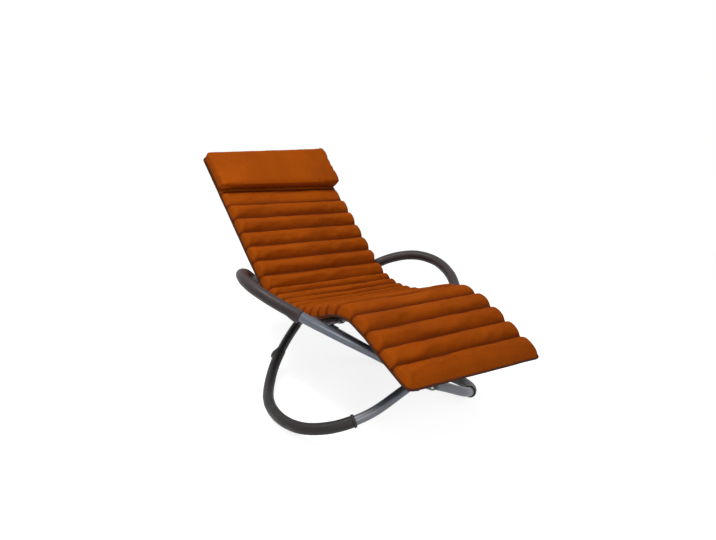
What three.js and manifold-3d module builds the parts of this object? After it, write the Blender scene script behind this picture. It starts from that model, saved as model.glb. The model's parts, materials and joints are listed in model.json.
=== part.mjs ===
// Rocking chaise lounge: two crossed tubular hoops, a bent seat frame on a spine tube, a sling,
// a long roll cushion and a head pillow. Millimetres, +X to the feet, +Y to the sitter's left, +Z up.
// The origin is on the ground, under the middle of the overall length and width.

import * as THREE from 'three';
import { mergeVertices } from 'three/addons/utils/BufferGeometryUtils.js';
import Module from 'manifold-3d';

const wasm = await Module();
wasm.setup();

// Hoops
const middleShift = 91;
const hoopReach = 345;
const armStandOut = 144;
const hoopRise = 428;
const frontPivotInset = 20;
const rearPivotOutset = 6;
const pivotRise = 173;
const tubeDiameter = 32;
const tubeWall = 1.6;
const sleeveDiameter = 38;
const shoulderDrop = 84;
const wearDepth = 0.5;
const wearWidth = 30;
const wearLength = 200;
const lipLength = 7;
const lipStandOut = 1.6;
const stopBlockLength = 34;
const stopBlockWidth = 24;
const stopBlockStandOut = 11;

// Pivots
const couplerDiameter = 42;
const couplerFlat = 38;
const couplerLength = 44;
const bowEndGap = 15;
const discDiameter = 46;
const discThickness = 2.6;
const toothCount = 12;
const toothDepth = 1;
const boltDiameter = 10;
const boltHeadDiameter = 17;
const boltHeadHeight = 6.5;
const washerDiameter = 24;
const washerThickness = 2;
const capDiameter = 19;
const capLength = 9;
const insertLength = 30;

// Spine and posts
const spineDiameter = 25;
const spineWall = 2;
const postDiameter = 20;
const postWall = 1.5;
const rearPostFootX = -165;
const frontPostFootX = 205;
const padLength = 46;
const padThickness = 3;

// Seat frame
const seatReach = 1310;
const seatHeadX = -748;
const headHeight = 762;
const railInset = 57;
const railDiameter = 20;
const railWall = 1.4;
const railEndInset = 22;
const barDiameter = 19;
const plugLength = 16;
const plugHeadLength = 3;

// Sling, cushion and pillow
const slingThickness = 2;
const slingOverhang = 11;
const cushionWidth = 544;
const backRollPitch = 68;
const hipRollPitch = 49;
const legRollPitch = 72;
const hemLength = 85;
const rollHeight = 43;
const valleyHeight = 20;
const hemHeight = 38;
const edgeHeight = 15;
const edgeDrawIn = 5;
const pressedRollHeight = 24;
const pillowSideInset = 3;
const pillowLength = 203;
const pillowHeight = 40;
const pillowHeadInset = 1;
const pillowLift = 0.6;
const pillowDrawIn = 18;
const strapWidth = 38;
const pillowStrapWidth = 120;
const strapThickness = 1.8;
const bandLip = 14;
const bandClear = 6;
const bandPlaceShares = [0.27, 0.89];
const bandPlaces = ['back', 'leg'];

// Arm brackets and rail lugs
const saddleWall = 2.4;
const saddleEdge = 3;
const bracketWebWidth = 26;
const bracketWebThickness = 6;
const fingerLength = 34;
const lugLength = 40;
const lugWall = 3;
const lugTongue = 20;
const lugTongueThickness = 5;

// Clearances
const gap = 0.3;
const slideGap = 0.6;
const overrun = 40;
const knotClear = 3;

// Counts
const sides = 12;
const boreSides = 6;
const stepsPerStation = 3;
const shortestStep = 0.15;
const fineSteps = 400;
const roundSides = 14;
const backRolls = 10;
const hipRolls = 9;
const legRolls = 4;
const pressedRolls = 3;
const slicesPerRoll = 3;

// Finishes
const finishes = {
  tube: { color: 0x9aa0a8, roughness: 0.35, metalness: 0.85 },
  rubber: { color: 0x2b2522, roughness: 0.85, metalness: 0 },
  grip: { color: 0x3a302c, roughness: 0.75, metalness: 0 },
  steel: { color: 0xb4b6b8, roughness: 0.3, metalness: 1 },
  frame: { color: 0x4a4644, roughness: 0.5, metalness: 0.6 },
  plastic: { color: 0x201e1d, roughness: 0.6, metalness: 0 },
  mesh: { color: 0x3b3836, roughness: 0.9, metalness: 0 },
  cloth: { color: 0xa0440c, roughness: 0.95, metalness: 0 },
  strap: { color: 0x46231a, roughness: 0.9, metalness: 0 },
};

const tubeRadius = tubeDiameter / 2;
const sleeveRadius = sleeveDiameter / 2;
const couplerRadius = couplerDiameter / 2;
const lineHeight = sleeveRadius - wearDepth;
const pivotHeight = lineHeight + pivotRise;
const discStack = 2 * discThickness + 3 * gap;
const hoopStagger = couplerFlat + discStack;
const frontPivotX = hoopReach - frontPivotInset;
const rearPivotX = -hoopReach - rearPivotOutset;
const railY = cushionWidth / 2 - railInset;
const hoopSpan = cushionWidth / 2 + armStandOut;
const pillowWidth = cushionWidth - 2 * pillowSideInset;
const railRadius = railDiameter / 2;

const group = new THREE.Group();

function addPart(name, geometry, finish) {
  const material = new THREE.MeshStandardMaterial(finishes[finish]);
  const mesh = new THREE.Mesh(geometry, material);
  mesh.name = name;
  mesh.geometry.translate(middleShift, 0, 0);
  group.add(mesh);
  return mesh;
}

// Solid joining and cutting
function toSolid(geometry) {
  const bare = geometry.index ? geometry.toNonIndexed() : geometry.clone();
  bare.deleteAttribute('normal');
  bare.deleteAttribute('uv');
  const merged = mergeVertices(bare, gap / 300);
  return new wasm.Manifold(new wasm.Mesh({
    numProp: 3,
    vertProperties: new Float32Array(merged.attributes.position.array),
    triVerts: new Uint32Array(merged.index.array),
  }));
}

function toGeometry(solid) {
  const mesh = solid.getMesh();
  const geometry = new THREE.BufferGeometry();
  const places = new Float32Array(mesh.vertProperties);
  geometry.setAttribute('position', new THREE.BufferAttribute(places, 3));
  geometry.setIndex(new THREE.BufferAttribute(new Uint32Array(mesh.triVerts), 1));
  const flat = geometry.toNonIndexed();
  flat.computeVertexNormals();
  return flat;
}

function joined(...geometries) {
  return toGeometry(geometries.map(toSolid).reduce((a, b) => a.add(b)));
}

function cut(geometry, ...tools) {
  return toGeometry(tools.map(toSolid).reduce((a, b) => a.subtract(b), toSolid(geometry)));
}

// Basic bodies
function ringPoints(radius, count) {
  const points = [];
  for (let i = 0; i < count; i += 1) {
    const angle = (2 * Math.PI * i) / count;
    points.push(new THREE.Vector2(radius * Math.cos(angle), radius * Math.sin(angle)));
  }
  return points;
}

function section(outer, bore = 0, outerCount = sides, boreCount = sides) {
  const shape = new THREE.Shape(ringPoints(outer, outerCount));
  if (bore > 0) {
    shape.holes.push(new THREE.Path(ringPoints(bore, boreCount)));
  }
  return shape;
}

function sweep(path, steps, shape) {
  return new THREE.ExtrudeGeometry(shape, { steps, extrudePath: path, curveSegments: 1 });
}

// A round bar between two points
function rod(from, to, radius, count = roundSides, bore = 0) {
  const path = new THREE.LineCurve3(from, to);
  return sweep(path, 1, section(radius, bore, count, count));
}

function rodX(x0, x1, y, z, radius, count = roundSides, bore = 0) {
  return rod(new THREE.Vector3(x0, y, z), new THREE.Vector3(x1, y, z), radius, count, bore);
}

function hexX(x0, x1, y, z, across) {
  return rodX(x0, x1, y, z, across / Math.sqrt(3), 6);
}

// A flat bar from one point to another; the width lies along the direction 'wide'
function flatBar(from, to, wide, width, thickness) {
  const along = to.clone().sub(from);
  const length = along.length();
  along.normalize();
  const side = wide.clone().addScaledVector(along, -wide.dot(along)).normalize();
  const up = new THREE.Vector3().crossVectors(along, side);
  const bar = new THREE.BoxGeometry(length, width, thickness);
  const middle = from.clone().add(to).multiplyScalar(1 / 2);
  bar.applyMatrix4(new THREE.Matrix4().makeBasis(along, side, up).setPosition(middle));
  return bar;
}

// Seat line: the face between sling and cushion, from head to foot, as shares of reach and head height
const seatStationShares = [
  [0, 1],
  [0.105, 0.86],
  [0.212, 0.717],
  [0.342, 0.542],
  [0.418, 0.453],
  [0.495, 0.424],
  [0.586, 0.437],
  [0.662, 0.48],
  [0.724, 0.525],
  [0.777, 0.537],
  [0.8305, 0.513],
  [0.9145, 0.45],
  [1, 0.392],
];
const seatLine = new THREE.CatmullRomCurve3(
  seatStationShares.map(([along, up]) => (
    new THREE.Vector3(seatHeadX + along * seatReach, 0, up * headHeight)
  )),
  false,
  'centripetal',
);
seatLine.arcLengthDivisions = 800;
const seatLength = seatLine.getLength();

// Rolls of the cushion, from head to foot
const rollPitches = [
  ...Array(backRolls).fill(backRollPitch),
  ...Array(hipRolls).fill(hipRollPitch),
  ...Array(legRolls).fill(legRollPitch),
];
const rolledLength = rollPitches.reduce((sum, pitch) => sum + pitch, 0);
const cushionScale = seatLength / (rolledLength + hemLength);
const valleys = rollPitches.reduce((list, pitch) => [...list, list.at(-1) + pitch * cushionScale], [0]);

// Rails, sling and cushion follow the same facets of the seat line: one for each roll of the
// straight back, two for each other roll, two for the hem
const knotLengths = [
  ...valleys.slice(0, backRolls),
  ...valleys.slice(backRolls).flatMap((valley, i, list) => [
    valley,
    (valley + (i + 1 < list.length ? list[i + 1] : seatLength)) / 2,
  ]),
  seatLength,
];
const seatKnots = knotLengths.map((length) => ({
  place: seatLine.getPointAt(length / seatLength),
  along: seatLine.getTangentAt(length / seatLength).normalize(),
}));

// Place on the seat line at a length from the head, with its direction and upward normal
function seatAt(length) {
  const next = knotLengths.findIndex((knot, i) => i > 0 && knot >= length);
  const index = next < 0 ? knotLengths.length - 2 : next - 1;
  const share = (length - knotLengths[index]) / (knotLengths[index + 1] - knotLengths[index]);
  const place = seatKnots[index].place.clone().lerp(seatKnots[index + 1].place, share);
  const along = seatKnots[index].along.clone().lerp(seatKnots[index + 1].along, share).normalize();
  const up = new THREE.Vector3(-along.z, 0, along.x);
  return { place, along, up };
}

// Height of the seat line above a place along X
function seatLengthAt(x) {
  let length = seatLength / 2;
  knotLengths.forEach(() => {
    length += x - seatAt(length).place.x;
  });
  return length;
}

function seatHeightAt(x) {
  return seatAt(seatLengthAt(x)).place.z;
}

// Hoop line: stations from the front pivot over the arm to the rear pivot and back along the rocker,
// as shares of the reach, span and rise
const hoopStationShares = [
  [0.942, 0, 0.404],
  [0.912, 0.21, 0.522],
  [0.828, 0.361, 0.617],
  [0.625, 0.61, 0.75],
  [0.362, 0.82, 0.864],
  [0.072, 0.957, 0.946],
  [-0.22, 1, 0.995],
  [-0.49, 0.9375, 0.998],
  [-0.713, 0.784, 0.932],
  [-0.93, 0.534, 0.788],
  [-1.02, 0.3, 0.645],
  [-1.017, 0, 0.404],
  [-0.977, -0.166, 0.266],
  [-0.791, -0.409, 0.112],
  [-0.49, -0.632, 0.02],
  [-0.145, -0.803, 0],
  [0.264, -0.885, 0.021],
  [0.583, -0.851, 0.063],
  [0.803, -0.702, 0.124],
  [0.922, -0.469, 0.21],
  [0.95, -0.2, 0.325],
];
const stationCount = hoopStationShares.length;
const frontPivotIndex = 0;
const shoulderIndex = 9;
const rearPivotIndex = 11;
const staggerExponent = 4;

// side is +1 for the hoop with the left arm, -1 for the hoop with the right arm, which lies outside
function hoopLine(side) {
  const stagger = side > 0 ? 0 : hoopStagger;
  const points = hoopStationShares.map(([along, across, up], index) => {
    const pivotX = along > 0 ? frontPivotX : rearPivotX;
    const atPivot = index === frontPivotIndex || index === rearPivotIndex;
    const x = atPivot ? pivotX : along * hoopReach;
    const out = Math.sign(x) * stagger * Math.abs(x / pivotX) ** staggerExponent;
    const z = atPivot ? pivotHeight : lineHeight + up * hoopRise;
    const place = new THREE.Vector3(x + out, side * across * hoopSpan, z);
    // The shoulder, where the arm passes under the edge of the cushion, keeps below the seat line
    return index === shoulderIndex ? place.setZ(seatHeightAt(x) - shoulderDrop) : place;
  });
  return new THREE.CatmullRomCurve3(points, true, 'centripetal');
}

// The ends of a stretch and the knots that lie well inside it
function stopsBetween(from, to, knots, clear) {
  return [from, ...knots.filter((knot) => knot > from + clear && knot < to - clear), to];
}

function stopAtShare(stops, t) {
  const place = t * (stops.length - 1);
  const index = Math.min(Math.floor(place), stops.length - 2);
  return stops[index] + (stops[index + 1] - stops[index]) * (place - index);
}

function wrapped(station) {
  return (((station / stationCount) % 1) + 1) % 1;
}

// Every piece on a hoop follows the same facets: the straight lines between the steps
function onLine(line, station) {
  const step = Math.floor(station * stepsPerStation + Number.EPSILON);
  const a = line.getPoint(wrapped(step / stepsPerStation));
  const b = line.getPoint(wrapped((step + 1) / stepsPerStation));
  return a.lerp(b, station * stepsPerStation - step);
}

// A stretch of the hoop line between two station numbers
class Stretch extends THREE.Curve {
  constructor(line, from, to) {
    super();
    this.line = line;
    const first = Math.floor(from * stepsPerStation);
    const count = Math.ceil(to * stepsPerStation) - first + 1;
    const knots = Array.from({ length: count }, (_, i) => (first + i) / stepsPerStation);
    this.stops = stopsBetween(from, to, knots, shortestStep / stepsPerStation);
  }

  getPoint(t, target = new THREE.Vector3()) {
    return target.copy(onLine(this.line, stopAtShare(this.stops, t)));
  }

  getTangent(t, target = new THREE.Vector3()) {
    return target.copy(this.line.getTangent(wrapped(stopAtShare(this.stops, t))));
  }

  getPointAt(u, target) {
    return this.getPoint(u, target);
  }

  getTangentAt(u, target) {
    return this.getTangent(u, target);
  }
}

// A section swept along a stretch of a hoop
function sweepHoop(line, from, to, shape) {
  const stretch = new Stretch(line, from, to);
  return sweep(stretch, stretch.stops.length - 1, shape);
}

// The station number that lies a length along the line from another station
function stationAt(line, station, length) {
  const step = Math.sign(length) / fineSteps;
  let reached = station;
  let travelled = 0;
  let previous = onLine(line, station);
  while (travelled < Math.abs(length)) {
    reached += step;
    const next = onLine(line, reached);
    travelled += next.distanceTo(previous);
    previous = next;
  }
  return reached;
}

const armSleeveIndices = [4, 8.75];
const rockerSleeveIndices = [13, 18.5];
const bracketIndices = [3.42, 3.72];
const lowIndex = 15;
const sleeveBore = (tubeRadius + gap) / Math.cos(Math.PI / sides);
const couplerBore = (tubeRadius + gap) / Math.cos(Math.PI / sides);

// One hoop: arm bow, rocker bow, couplers at the two pivots, sleeves, lips and stop block
function addHoop(side) {
  const arm = side > 0 ? 'left' : 'right';
  const rocker = side > 0 ? 'right' : 'left';
  const line = hoopLine(side);
  const tube = section(tubeRadius, tubeRadius - tubeWall, sides, boreSides);
  const frontUp = stationAt(line, frontPivotIndex, bowEndGap / 2);
  const frontDown = stationAt(line, stationCount, -bowEndGap / 2);
  const rearUp = stationAt(line, rearPivotIndex, -bowEndGap / 2);
  const rearDown = stationAt(line, rearPivotIndex, bowEndGap / 2);

  addPart(`${arm}_arm_bow`, sweepHoop(line, frontUp, rearUp, tube), 'tube');
  addPart(`${rocker}_rocker_bow`, sweepHoop(line, rearDown, frontDown, tube), 'tube');

  [['front', frontPivotIndex + stationCount], ['rear', rearPivotIndex]].forEach(([end, station]) => {
    const from = stationAt(line, station, -couplerLength / 2);
    const to = stationAt(line, station, couplerLength / 2);
    const shell = sweepHoop(line, from, to, section(couplerRadius, couplerBore));
    const place = onLine(line, station);
    const hole = rodX(
      place.x - overrun, place.x + overrun, 0, pivotHeight, boltDiameter / 2 + gap,
    );
    const flats = [1, -1].map((way) => {
      const flat = new THREE.BoxGeometry(overrun, overrun * 2, overrun * 2);
      return flat.translate(place.x + way * (couplerFlat + overrun) / 2, 0, pivotHeight);
    });
    addPart(`${arm}_arm_${end}_coupler`, cut(shell, hole, ...flats), 'frame');
  });

  const [armFrom, armTo] = armSleeveIndices;
  const sleeve = section(sleeveRadius, sleeveBore);
  addPart(`${arm}_arm_sleeve`, sweepHoop(line, armFrom, armTo, sleeve), 'grip');

  const [rockFrom, rockTo] = rockerSleeveIndices;
  const rubber = sweepHoop(line, rockFrom, rockTo, sleeve);
  const low = onLine(line, lowIndex);
  const wear = new THREE.BoxGeometry(wearLength, wearWidth * 2, overrun);
  wear.translate(low.x, low.y, -overrun / 2);
  addPart(`${rocker}_rocker_sleeve`, cut(rubber, wear), 'rubber');

  // Raised lip at the front end of the rubber
  const lipFrom = stationAt(line, rockTo, gap);
  const lipTo = stationAt(line, lipFrom, lipLength);
  const lip = section(sleeveRadius + lipStandOut, sleeveBore);
  addPart(`${rocker}_rocker_lip`, sweepHoop(line, lipFrom, lipTo, lip), 'rubber');

  // Stop block on the outer side of the tube, just behind the rubber
  const blockTo = stationAt(line, rockFrom, -gap * 2);
  const blockFrom = stationAt(line, blockTo, -stopBlockLength);
  const clamp = sweepHoop(line, blockFrom, blockTo, section(sleeveRadius, sleeveBore));
  const start = onLine(line, blockFrom);
  const end = onLine(line, blockTo);
  const outward = new THREE.Vector3(-1, 0, 0);
  const along = end.clone().sub(start).normalize();
  outward.addScaledVector(along, -outward.dot(along)).normalize();
  const lift = (tubeRadius + sleeveRadius + stopBlockStandOut) / 2;
  const blockStart = start.clone().addScaledVector(along, stopBlockLength / 6).addScaledVector(outward, lift);
  const blockEnd = end.clone().addScaledVector(along, -stopBlockLength / 6).addScaledVector(outward, lift);
  const wide = new THREE.Vector3().crossVectors(along, outward);
  const nose = flatBar(
    blockStart, blockEnd, wide, stopBlockWidth, sleeveRadius + stopBlockStandOut - tubeRadius - slideGap * 2,
  );
  addPart(`${rocker}_stop_block`, joined(clamp, nose), 'rubber');
  return line;
}

const lines = { 1: addHoop(1), '-1': addHoop(-1) };

// Pivot bolts, discs, washers and cap nuts. At each end a bolt runs along X from the outer hoop
// through the inner hoop into the insert in the spine tube.
const spineEnd = {};
[['front', 1, frontPivotX], ['rear', -1, rearPivotX]].forEach(([end, way, inner]) => {
  const outer = inner + way * hoopStagger;
  const at = (x) => inner + way * x;
  const y = 0;
  const z = pivotHeight;

  // A disc with radial teeth on one face, as a ring whose rim is scalloped
  function toothedDisc(x0, x1) {
    const rim = new THREE.Shape();
    const count = toothCount * 2;
    for (let i = 0; i < count; i += 1) {
      const angle = (2 * Math.PI * i) / count;
      const radius = discDiameter / 2 - (i % 2) * toothDepth;
      const p = [radius * Math.cos(angle), radius * Math.sin(angle)];
      if (i === 0) rim.moveTo(...p);
      else rim.lineTo(...p);
    }
    rim.holes.push(new THREE.Path(ringPoints(boltDiameter / 2 + gap, roundSides)));
    const path = new THREE.LineCurve3(new THREE.Vector3(x0, y, z), new THREE.Vector3(x1, y, z));
    return sweep(path, 1, rim);
  }

  const discStart = couplerFlat / 2 + gap;
  addPart(`${end}_inner_disc`, toothedDisc(at(discStart), at(discStart + discThickness)), 'steel');
  addPart(
    `${end}_outer_disc`,
    toothedDisc(at(discStart + discThickness + gap), at(discStart + 2 * discThickness + gap)),
    'steel',
  );

  // Washer between the inner hoop and the spine end
  const washerFar = at(-couplerFlat / 2 - gap);
  const washerNear = at(-couplerFlat / 2 - gap - washerThickness);
  const holeRadius = boltDiameter / 2 + gap;
  const washerRadius = washerDiameter / 2;
  addPart(
    `${end}_spine_washer`,
    rodX(washerFar, washerNear, y, z, washerRadius, roundSides, holeRadius),
    'steel',
  );
  const spineFace = at(-couplerFlat / 2 - 2 * gap - washerThickness);
  spineEnd[end] = spineFace;

  // Threaded insert in the spine end
  const insertInner = spineFace - way * insertLength;
  addPart(
    `${end}_spine_insert`,
    rodX(
      spineFace, insertInner, y, z,
      spineDiameter / 2 - spineWall - gap, roundSides, boltDiameter / 2 + gap,
    ),
    'steel',
  );

  // Outer washer, bolt and cap
  const outerFace = outer + way * (couplerFlat / 2 + gap);
  addPart(
    `${end}_pivot_washer`,
    rodX(outerFace, outerFace + way * washerThickness, y, z, washerRadius, roundSides, holeRadius),
    'steel',
  );
  const headFace = outerFace + way * (washerThickness + gap);
  const shank = rodX(insertInner + way * gap, headFace + way * gap, y, z, boltDiameter / 2, roundSides);
  const head = hexX(headFace, headFace + way * boltHeadHeight, y, z, boltHeadDiameter);
  addPart(`${end}_pivot_bolt`, joined(shank, head), 'steel');
  const capFace = headFace + way * (boltHeadHeight + gap);
  addPart(
    `${end}_bolt_cap`,
    rodX(capFace, capFace + way * capLength, y, z, capDiameter / 2),
    'plastic',
  );
});

// A curve parallel to the seat line
class SeatOffset extends THREE.Curve {
  constructor(y, drop, from, to) {
    super();
    this.y = y;
    this.drop = drop;
    this.stops = stopsBetween(from, to, knotLengths, knotClear);
  }

  getPoint(t, target = new THREE.Vector3()) {
    const { place, up } = seatAt(stopAtShare(this.stops, t));
    return target.copy(place).addScaledVector(up, -this.drop).setY(this.y);
  }

  getTangent(t, target = new THREE.Vector3()) {
    return target.copy(seatAt(stopAtShare(this.stops, t)).along);
  }

  getPointAt(u, target) {
    return this.getPoint(u, target);
  }

  getTangentAt(u, target) {
    return this.getTangent(u, target);
  }
}

function sweepSeat(y, drop, from, to, shape) {
  const path = new SeatOffset(y, drop, from, to);
  return sweep(path, path.stops.length - 1, shape);
}

const railDrop = gap + slingThickness + gap + railRadius;
const seatSides = [['left', 1], ['right', -1]];

// Side rails with end plugs
seatSides.forEach(([name, side]) => {
  const tube = section(railRadius, railRadius - railWall, sides, boreSides);
  const rail = sweepSeat(side * railY, railDrop, railEndInset, seatLength - railEndInset, tube);
  addPart(`${name}_side_rail`, rail, 'frame');
});

// Cross bars between the rails
const barShares = { head: 0.03, hip: 0.408, knee: 0.75, foot: 0.97 };
const bars = {};
Object.entries(barShares).forEach(([name, share]) => {
  const { place, up, along } = seatAt(share * seatLength);
  const centre = place.clone().addScaledVector(up, -railDrop);
  bars[name] = { centre, along, up };
  const half = railY - railRadius - gap;
  const from = centre.clone().setY(-half);
  const to = centre.clone().setY(half);
  addPart(`${name}_cross_bar`, rod(from, to, barDiameter / 2, sides, barDiameter / 2 - railWall), 'frame');
});

// End plugs of the rails
seatSides.forEach(([name, side]) => {
  [['head', railEndInset, -1], ['foot', seatLength - railEndInset, 1]].forEach(([end, length, way]) => {
    const { place, up, along } = seatAt(length);
    const face = place.clone().addScaledVector(up, -railDrop).setY(side * railY);
    const outside = face.clone().addScaledVector(along, way * (plugHeadLength + gap));
    const lip = face.clone().addScaledVector(along, way * gap);
    const inside = face.clone().addScaledVector(along, -way * plugLength);
    const head = rod(lip, outside, railRadius, sides);
    const stemRadius = (railRadius - railWall) * Math.cos(Math.PI / boreSides) - slideGap * 2;
    const stem = rod(inside, lip.clone().addScaledVector(along, way * gap), stemRadius, sides);
    addPart(`${name}_${end}_plug`, joined(head, stem), 'plastic');
  });
});

// Spine tube between the pivots
const spineRadius = spineDiameter / 2;
addPart(
  'spine_tube',
  rodX(spineEnd.rear, spineEnd.front, 0, pivotHeight, spineRadius, roundSides, spineRadius - spineWall),
  'frame',
);

// Posts from the spine to the hip and knee bars, each on a saddle pad
[['rear', rearPostFootX, bars.hip], ['front', frontPostFootX, bars.knee]].forEach(([name, footX, bar]) => {
  const foot = new THREE.Vector3(footX, 0, pivotHeight);
  const direction = bar.centre.clone().sub(foot).normalize();
  const saddle = rodX(
    footX - padLength / 2, footX + padLength / 2, 0, pivotHeight,
    spineRadius + gap + padThickness, roundSides, spineRadius + gap,
  );
  const half = new THREE.BoxGeometry(padLength * 2, overrun * 2, overrun);
  half.translate(footX, 0, pivotHeight - overrun / 2);
  addPart(`${name}_post_saddle`, cut(saddle, half), 'frame');
  const from = foot.clone().addScaledVector(direction, spineRadius);
  const to = bar.centre.clone().addScaledVector(direction, -railRadius / 2);
  const post = rod(from, to, postDiameter / 2, sides, postDiameter / 2 - postWall);
  const keepOutFoot = rodX(
    footX - overrun * 2, footX + overrun * 2, 0, pivotHeight, spineRadius + padThickness + gap * 3, roundSides,
  );
  const barClear = rod(
    bar.centre.clone().setY(-overrun), bar.centre.clone().setY(overrun), barDiameter / 2 + slideGap, roundSides,
  );
  addPart(`${name}_post`, cut(post, keepOutFoot, barClear), 'frame');
});

// Arm brackets, which move with the hoops, and the rail lugs that they bear against
seatSides.forEach(([name, side]) => {
  const line = lines[side];
  const [from, to] = bracketIndices;
  const collar = sweepHoop(line, from, to, section(sleeveBore + saddleWall, sleeveBore));
  const place = onLine(line, (from + to) / 2);
  const along = line.getTangent(wrapped((from + to) / 2)).normalize();
  const outward = new THREE.Vector3(along.y, -along.x, 0).normalize();
  outward.multiplyScalar(side * Math.sign(outward.y));
  const lift = new THREE.Vector3().crossVectors(along, outward);
  const outerHalf = new THREE.BoxGeometry(overrun * 2, overrun, overrun * 2);
  outerHalf.applyMatrix4(
    new THREE.Matrix4().makeBasis(along, outward, lift)
      .setPosition(place.clone().addScaledVector(outward, overrun / 2 - saddleEdge)),
  );

  // The tongue stands out from the rail at the bracket's X
  const length = seatLengthAt(place.x);
  const seat = seatAt(length);
  const railCentre = seat.place.clone().addScaledVector(seat.up, -railDrop).setY(side * railY);
  const tongueZ = railCentre.z - railRadius / 2;
  const tongueY = railCentre.y + side * (railRadius + lugTongue);
  const root = new THREE.Vector3(railCentre.x, railCentre.y + side * (railRadius + gap), tongueZ);
  const tip = new THREE.Vector3(railCentre.x, tongueY, tongueZ);
  const tongue = flatBar(root, tip, new THREE.Vector3(1, 0, 0), lugLength, lugTongueThickness);
  const bore = (railRadius + gap) / Math.cos(Math.PI / sides);
  const clip = sweepSeat(
    side * railY, railDrop, length - lugLength / 2, length + lugLength / 2, section(bore + lugWall, bore),
  );
  const railBore = sweepSeat(side * railY, railDrop, length - lugLength, length + lugLength, section(bore));
  const slingClear = new THREE.BoxGeometry(lugLength * 2, overrun * 2, overrun);
  slingClear.applyMatrix4(
    new THREE.Matrix4().makeBasis(seat.along, new THREE.Vector3(0, 1, 0), seat.up)
      .setPosition(railCentre.clone().addScaledVector(seat.up, overrun / 2)),
  );
  addPart(`${name}_rail_lug`, cut(joined(clip, tongue), railBore, slingClear), 'frame');

  // Finger under the tongue, web, and a saddle on the inner side of the tube
  const fingerZ = tongueZ - lugTongueThickness / 2 - gap - bracketWebThickness / 2;
  const fingerInset = railRadius + lugWall + slideGap * 4;
  const fingerTip = new THREE.Vector3(place.x, railCentre.y + side * fingerInset, fingerZ);
  const fingerRoot = fingerTip.clone().setY(fingerTip.y + side * fingerLength);
  const wide = new THREE.Vector3(1, 0, 0);
  const finger = flatBar(fingerTip, fingerRoot, wide, bracketWebWidth, bracketWebThickness);
  const reach = place.clone().addScaledVector(outward, -tubeRadius);
  const webRoot = fingerRoot.clone().setY(fingerRoot.y - side * bracketWebThickness);
  const web = flatBar(webRoot, reach, wide, bracketWebWidth, bracketWebThickness);
  const tubeClear = sweepHoop(line, from - 1, to + 1, section(sleeveBore));
  addPart(`${name}_arm_bracket`, cut(joined(collar, web, finger), tubeClear, outerHalf), 'frame');
});

// Sling: one woven sheet over the rails
function seatSlab(from, to, low, high, halfWidth) {
  const outline = (height) => stopsBetween(from, to, knotLengths, 0).map((length) => {
    const { place, up } = seatAt(length);
    return place.clone().addScaledVector(up, height);
  });
  const path = [...outline(low), ...outline(high).reverse()];
  const shape = new THREE.Shape(path.map((p) => new THREE.Vector2(p.x, p.z)));
  const slab = new THREE.ExtrudeGeometry(shape, { steps: 1, depth: halfWidth * 2, bevelEnabled: false });
  slab.rotateX(Math.PI / 2);
  slab.translate(0, halfWidth, 0);
  return slab;
}
addPart(
  'sling',
  seatSlab(
    railEndInset + gap, seatLength - railEndInset - gap, -gap - slingThickness, -gap, railY + slingOverhang,
  ),
  'mesh',
);

// Roll cushion: slices across the seat line, crowned in each roll and drawn in at its edges

// Half of the outline across one slice: place as a share of the half width, height as a share
const acrossShares = [
  [0, 1],
  [0.74, 0.96],
  [0.94, 0.76],
  [1, 0.36],
  [0.985, 0],
];

// Slices of the hem: place as a share of the hem, height as a share of its full height
const hemShares = [
  [0.12, 0.74],
  [0.4, 1],
  [0.75, 0.8],
  [1, 0.27],
];

function cushionSlices() {
  const slices = [{ length: gap, height: edgeHeight, draw: edgeDrawIn }];
  rollPitches.forEach((pitch, roll) => {
    const start = valleys[roll];
    const span = pitch * cushionScale;
    for (let i = 0; i < slicesPerRoll; i += 1) {
      const share = (i + 1 / 2) / slicesPerRoll;
      const crown = Math.sin(Math.PI * share) ** (1 / 2);
      const top = roll < pressedRolls ? pressedRollHeight : rollHeight;
      slices.push({
        length: start + span * share,
        height: valleyHeight + (top - valleyHeight) * crown,
        draw: edgeDrawIn * (1 - crown),
      });
    }
    slices.push({ length: start + span, height: valleyHeight, draw: edgeDrawIn });
  });
  const hem = seatLength - valleys.at(-1);
  hemShares.forEach(([share, height]) => {
    const length = Math.min(seatLength - hem * (1 - share), seatLength - gap);
    slices.push({ length, height: height * hemHeight, draw: 0 });
  });
  return slices;
}

// Closed skin over equal rings of points
function skin(rings) {
  const count = rings[0].length;
  const places = rings.flat().flatMap((p) => [p.x, p.y, p.z]);
  const faces = [];
  for (let r = 0; r + 1 < rings.length; r += 1) {
    for (let i = 0; i < count; i += 1) {
      const a = r * count + i;
      const b = r * count + ((i + 1) % count);
      faces.push(a, a + count, b, b, a + count, b + count);
    }
  }
  [0, rings.length - 1].forEach((r) => {
    const centre = rings[r].reduce((sum, p) => sum.add(p), new THREE.Vector3()).divideScalar(count);
    const index = places.length / 3;
    places.push(centre.x, centre.y, centre.z);
    for (let i = 0; i < count; i += 1) {
      const a = r * count + i;
      const b = r * count + ((i + 1) % count);
      if (r === 0) faces.push(index, a, b);
      else faces.push(index, b, a);
    }
  });
  const geometry = new THREE.BufferGeometry();
  geometry.setAttribute('position', new THREE.Float32BufferAttribute(places, 3));
  geometry.setIndex(faces);
  const flat = geometry.toNonIndexed();
  flat.computeVertexNormals();
  return flat;
}

function cushionRing({ length, height, draw }) {
  const { place, up } = seatAt(length);
  const half = cushionWidth / 2 - draw;
  const ring = [];
  const point = (share, rise) => place.clone().setY(share * half).addScaledVector(up, rise);
  acrossShares.forEach(([share, rise]) => ring.push(point(share, gap + rise * height)));
  acrossShares.slice().reverse().forEach(([share, rise]) => {
    if (share > 0) ring.push(point(-share, gap + rise * height));
  });
  return ring;
}
addPart('roll_cushion', skin(cushionSlices().map(cushionRing)), 'cloth');

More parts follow.
